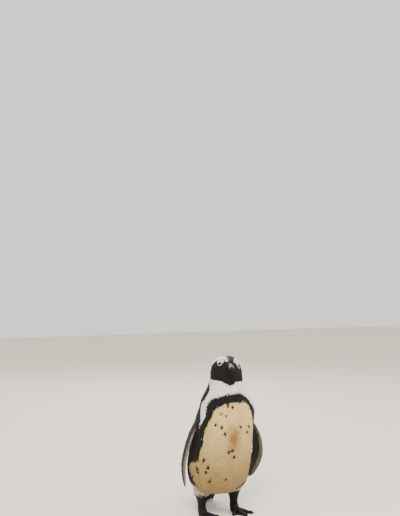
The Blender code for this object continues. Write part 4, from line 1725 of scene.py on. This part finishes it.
@dataclass(frozen=True)
class Eye:
    """One eyeball in its ring of lid skin."""

    side: Side
    radius: float = 8.5 * MM
    pupil: float = math.radians(15)
    iris: float = math.radians(33)
    ring_radius: float = 5.8 * MM
    ring_thickness: float = 1.5 * MM
    ring_squash: tuple[float, float, float] = (1.06, 0.94, 0.6)
    pupil_black: str = "#050505"
    iris_brown: str = "#180D08"
    ball_brown: str = "#120D0B"
    lid_grey: str = "#ABA6A4"
    lid_edge: str = "#1A1514"

    def build(self, gloss: bpy.types.Material, lid: bpy.types.Material) -> None:
        """Model, place and dress the ball and its lid ring.

        Args:
            gloss: The eyeball's material.
            lid: The lid skin's material.
        """
        ball = self._ball()
        self._place(ball)
        finish_piece(ball, gloss)
        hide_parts(f"eye_{self.side.word}")
        ring = self._ring()
        self._place(ring)
        finish_piece(ring, lid)

    def _place(self, piece: bpy.types.Object) -> None:
        """Turn a piece from straight up to the way that the eye looks, and set it in the head.

        Args:
            piece: The ball or the ring, modelled round the origin.
        """
        look = HEAD.look[self.side]
        level = HEAD.up.cross(look).normalized()
        axes = Matrix((level, look.cross(level), look)).transposed()
        piece.matrix_world = Matrix.Translation(HEAD.eyes[self.side]) @ axes.to_4x4()
        select_only(piece)
        bpy.ops.object.transform_apply(location=True, rotation=True, scale=True)

    def _ball(self) -> bpy.types.Object:
        """Model a fine ball, painted with iris and pupil.

        Returns:
            The ball round the origin, looking up.
        """
        ball = add_primitive(
            f"eye_{self.side.word}_ball", bpy.ops.mesh.primitive_uv_sphere_add,
            segments=40, ring_count=28, radius=self.radius,
        )
        places = vertex_places(ball.data)
        angle = np.arccos(np.clip(places[:, 2] / self.radius, -1, 1))
        spokes = 0.8 + 0.2 * np.sin(np.arctan2(places[:, 1], places[:, 0]) * 23)
        iris = linear(self.iris_brown) * spokes[:, None]
        colours = np.where((angle < self.iris)[:, None], iris, linear(self.ball_brown))
        colours[angle < self.pupil] = linear(self.pupil_black)
        paint(ball.data, colours)
        return ball

    def _ring(self) -> bpy.types.Object:
        """Model a puckered ring of lid skin that rests on the ball.

        Returns:
            The ring, over the ball round the origin.
        """
        rest = math.sqrt(self.radius ** 2 - self.ring_radius ** 2) + 0.7 * MM
        ring = add_primitive(
            f"eye_{self.side.word}_lid", bpy.ops.mesh.primitive_torus_add,
            major_segments=72, minor_segments=14, location=(0, 0, rest),
            major_radius=self.ring_radius, minor_radius=self.ring_thickness,
        )
        with edit_all(ring):
            bpy.ops.transform.resize(value=self.ring_squash, center_override=(0, 0, rest))
        places, normals = vertex_places(ring.data), vertex_normals(ring.data)
        turn = np.arctan2(places[:, 1], places[:, 0])
        away = np.hypot(places[:, 0], places[:, 1])
        pucker = 0.10 * np.sin(turn * 19) + 0.08 * np.sin(turn * 31 + 1)
        move_vertices(ring.data, places + normals * (pucker * MM)[:, None])
        edge = ramp(away, self.ring_radius - 0.2 * MM, self.ring_radius - 0.9 * MM)
        paint(ring.data, mix(linear(self.lid_grey), linear(self.lid_edge), edge))
        return ring


@dataclass(frozen=True)
class Claws:
    """The eight claws, rounded from their solids."""

    horn: str = "#1B1816"
    tip: str = "#37302A"

    def build(self, finish: HornFinish) -> None:
        """Round, paint and dress every claw.

        Args:
            finish: The horn's material.
        """
        material = finish.material()
        for node in sorted(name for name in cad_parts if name.startswith("claw")):
            piece = node_copy(node, f"{node}_horn")
            apply_modifier(piece, "SUBSURF", levels=2)
            forward = -vertex_places(piece.data)[:, 1]
            share = ramp(forward, forward.min(), forward.max())
            paint(piece.data, mix(linear(self.horn), linear(self.tip), share))
            finish_piece(piece, material)
            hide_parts(node)


# ---- Studio ------------------------------------------------------------------------------------
@dataclass(frozen=True)
class SoftLight:
    """A square area light that faces the bird."""

    name: str
    place: tuple[float, float, float]
    size: float
    watts: float
    aim: tuple[float, float, float] = (0, 0, 0.25)

    def hang(self) -> None:
        """Add the light."""
        turn = (Vector(self.aim) - Vector(self.place)).to_track_quat("-Z", "Y").to_euler()
        bpy.ops.object.light_add(type="AREA", location=self.place, rotation=turn)
        light = bpy.context.active_object
        light.name = self.name
        light.data.size = self.size
        light.data.energy = self.watts


@dataclass(frozen=True)
class Studio:
    """Pale floor, soft light and the camera."""

    floor_size: float = 14.0
    lights: tuple[SoftLight, ...] = (
        SoftLight("key_light", (-1.3, -2.2, 2.6), 1.6, 145),
        SoftLight("fill_light", (2.4, -1.6, 1.8), 2.2, 55),
        SoftLight("back_light", (0.6, 2.4, 2.2), 1.8, 55),
    )
    sky: str = "#F2F0EC"
    sky_strength: float = 1.35
    camera_turn: float = math.radians(-24)
    camera_distance: float = 2.198
    camera_height: float = 0.710
    camera_slide: float = 0.0613     # to the left, which puts the bird right of the middle
    camera_centre: tuple[float, float, float] = (-0.0120, -0.0139, 0)
    camera_tilt: float = math.radians(1.76)
    lens_mm: float = 50.0

    def build(self) -> None:
        """Lay the floor, hang the lights and set the camera."""
        floor = add_primitive("floor", bpy.ops.mesh.primitive_plane_add, size=self.floor_size)
        floor.data.materials.append(FloorFinish().material())
        for light in self.lights:
            light.hang()
        world = bpy.data.worlds.new("pale_surroundings")
        world.use_nodes = True
        background = world.node_tree.nodes["Background"]
        background.inputs["Color"].default_value = rgba(self.sky)
        background.inputs["Strength"].default_value = self.sky_strength
        bpy.context.scene.world = world
        self._camera()
        LOG.info("studio: floor, %d lights and the camera", len(self.lights))

    def _camera(self) -> None:
        """Stand the camera in front of the bird and to its right."""
        turn = self.camera_turn
        right = Vector((math.cos(turn), math.sin(turn), 0))
        back = Vector((math.sin(turn), -math.cos(turn), 0))
        place = Vector(self.camera_centre) + back * self.camera_distance - right * self.camera_slide
        place.z = self.camera_height
        look = -back * math.cos(self.camera_tilt) + Vector((0, 0, math.sin(self.camera_tilt)))
        bpy.ops.object.camera_add(location=place, rotation=look.to_track_quat("-Z", "Y").to_euler())
        camera = bpy.context.active_object
        camera.name = "camera"
        camera.data.lens = self.lens_mm
        bpy.context.scene.camera = camera


def main() -> None:
    """Build every piece in order."""
    logging.basicConfig(level=logging.INFO, format="%(name)s: %(message)s")
    markings = Markings(Palette())
    skin = Skin()
    skin.build(markings, SkinFinish())
    coat = Coat(skin, markings)
    vane = VaneFinish("feather_vane").material()
    scute = SkinFinish("foot_scute", roughness=0.5, shine=0.25).material()
    for number, tract in enumerate(TRACTS):
        coat.grow(tract, scute if tract.shape is SCUTE else vane, seed=100 + number)
    Bill().build(HornFinish("bill_keratin"))
    gloss, lid = EyeFinish().material(), SkinFinish("lid_skin", crease_mm=0.7).material()
    for side in Side:
        Eye(side).build(gloss, lid)
    Claws().build(HornFinish("claw_keratin", roughness=0.42, coat=0.1))
    Studio().build()


if __name__ == "__main__":
    main()
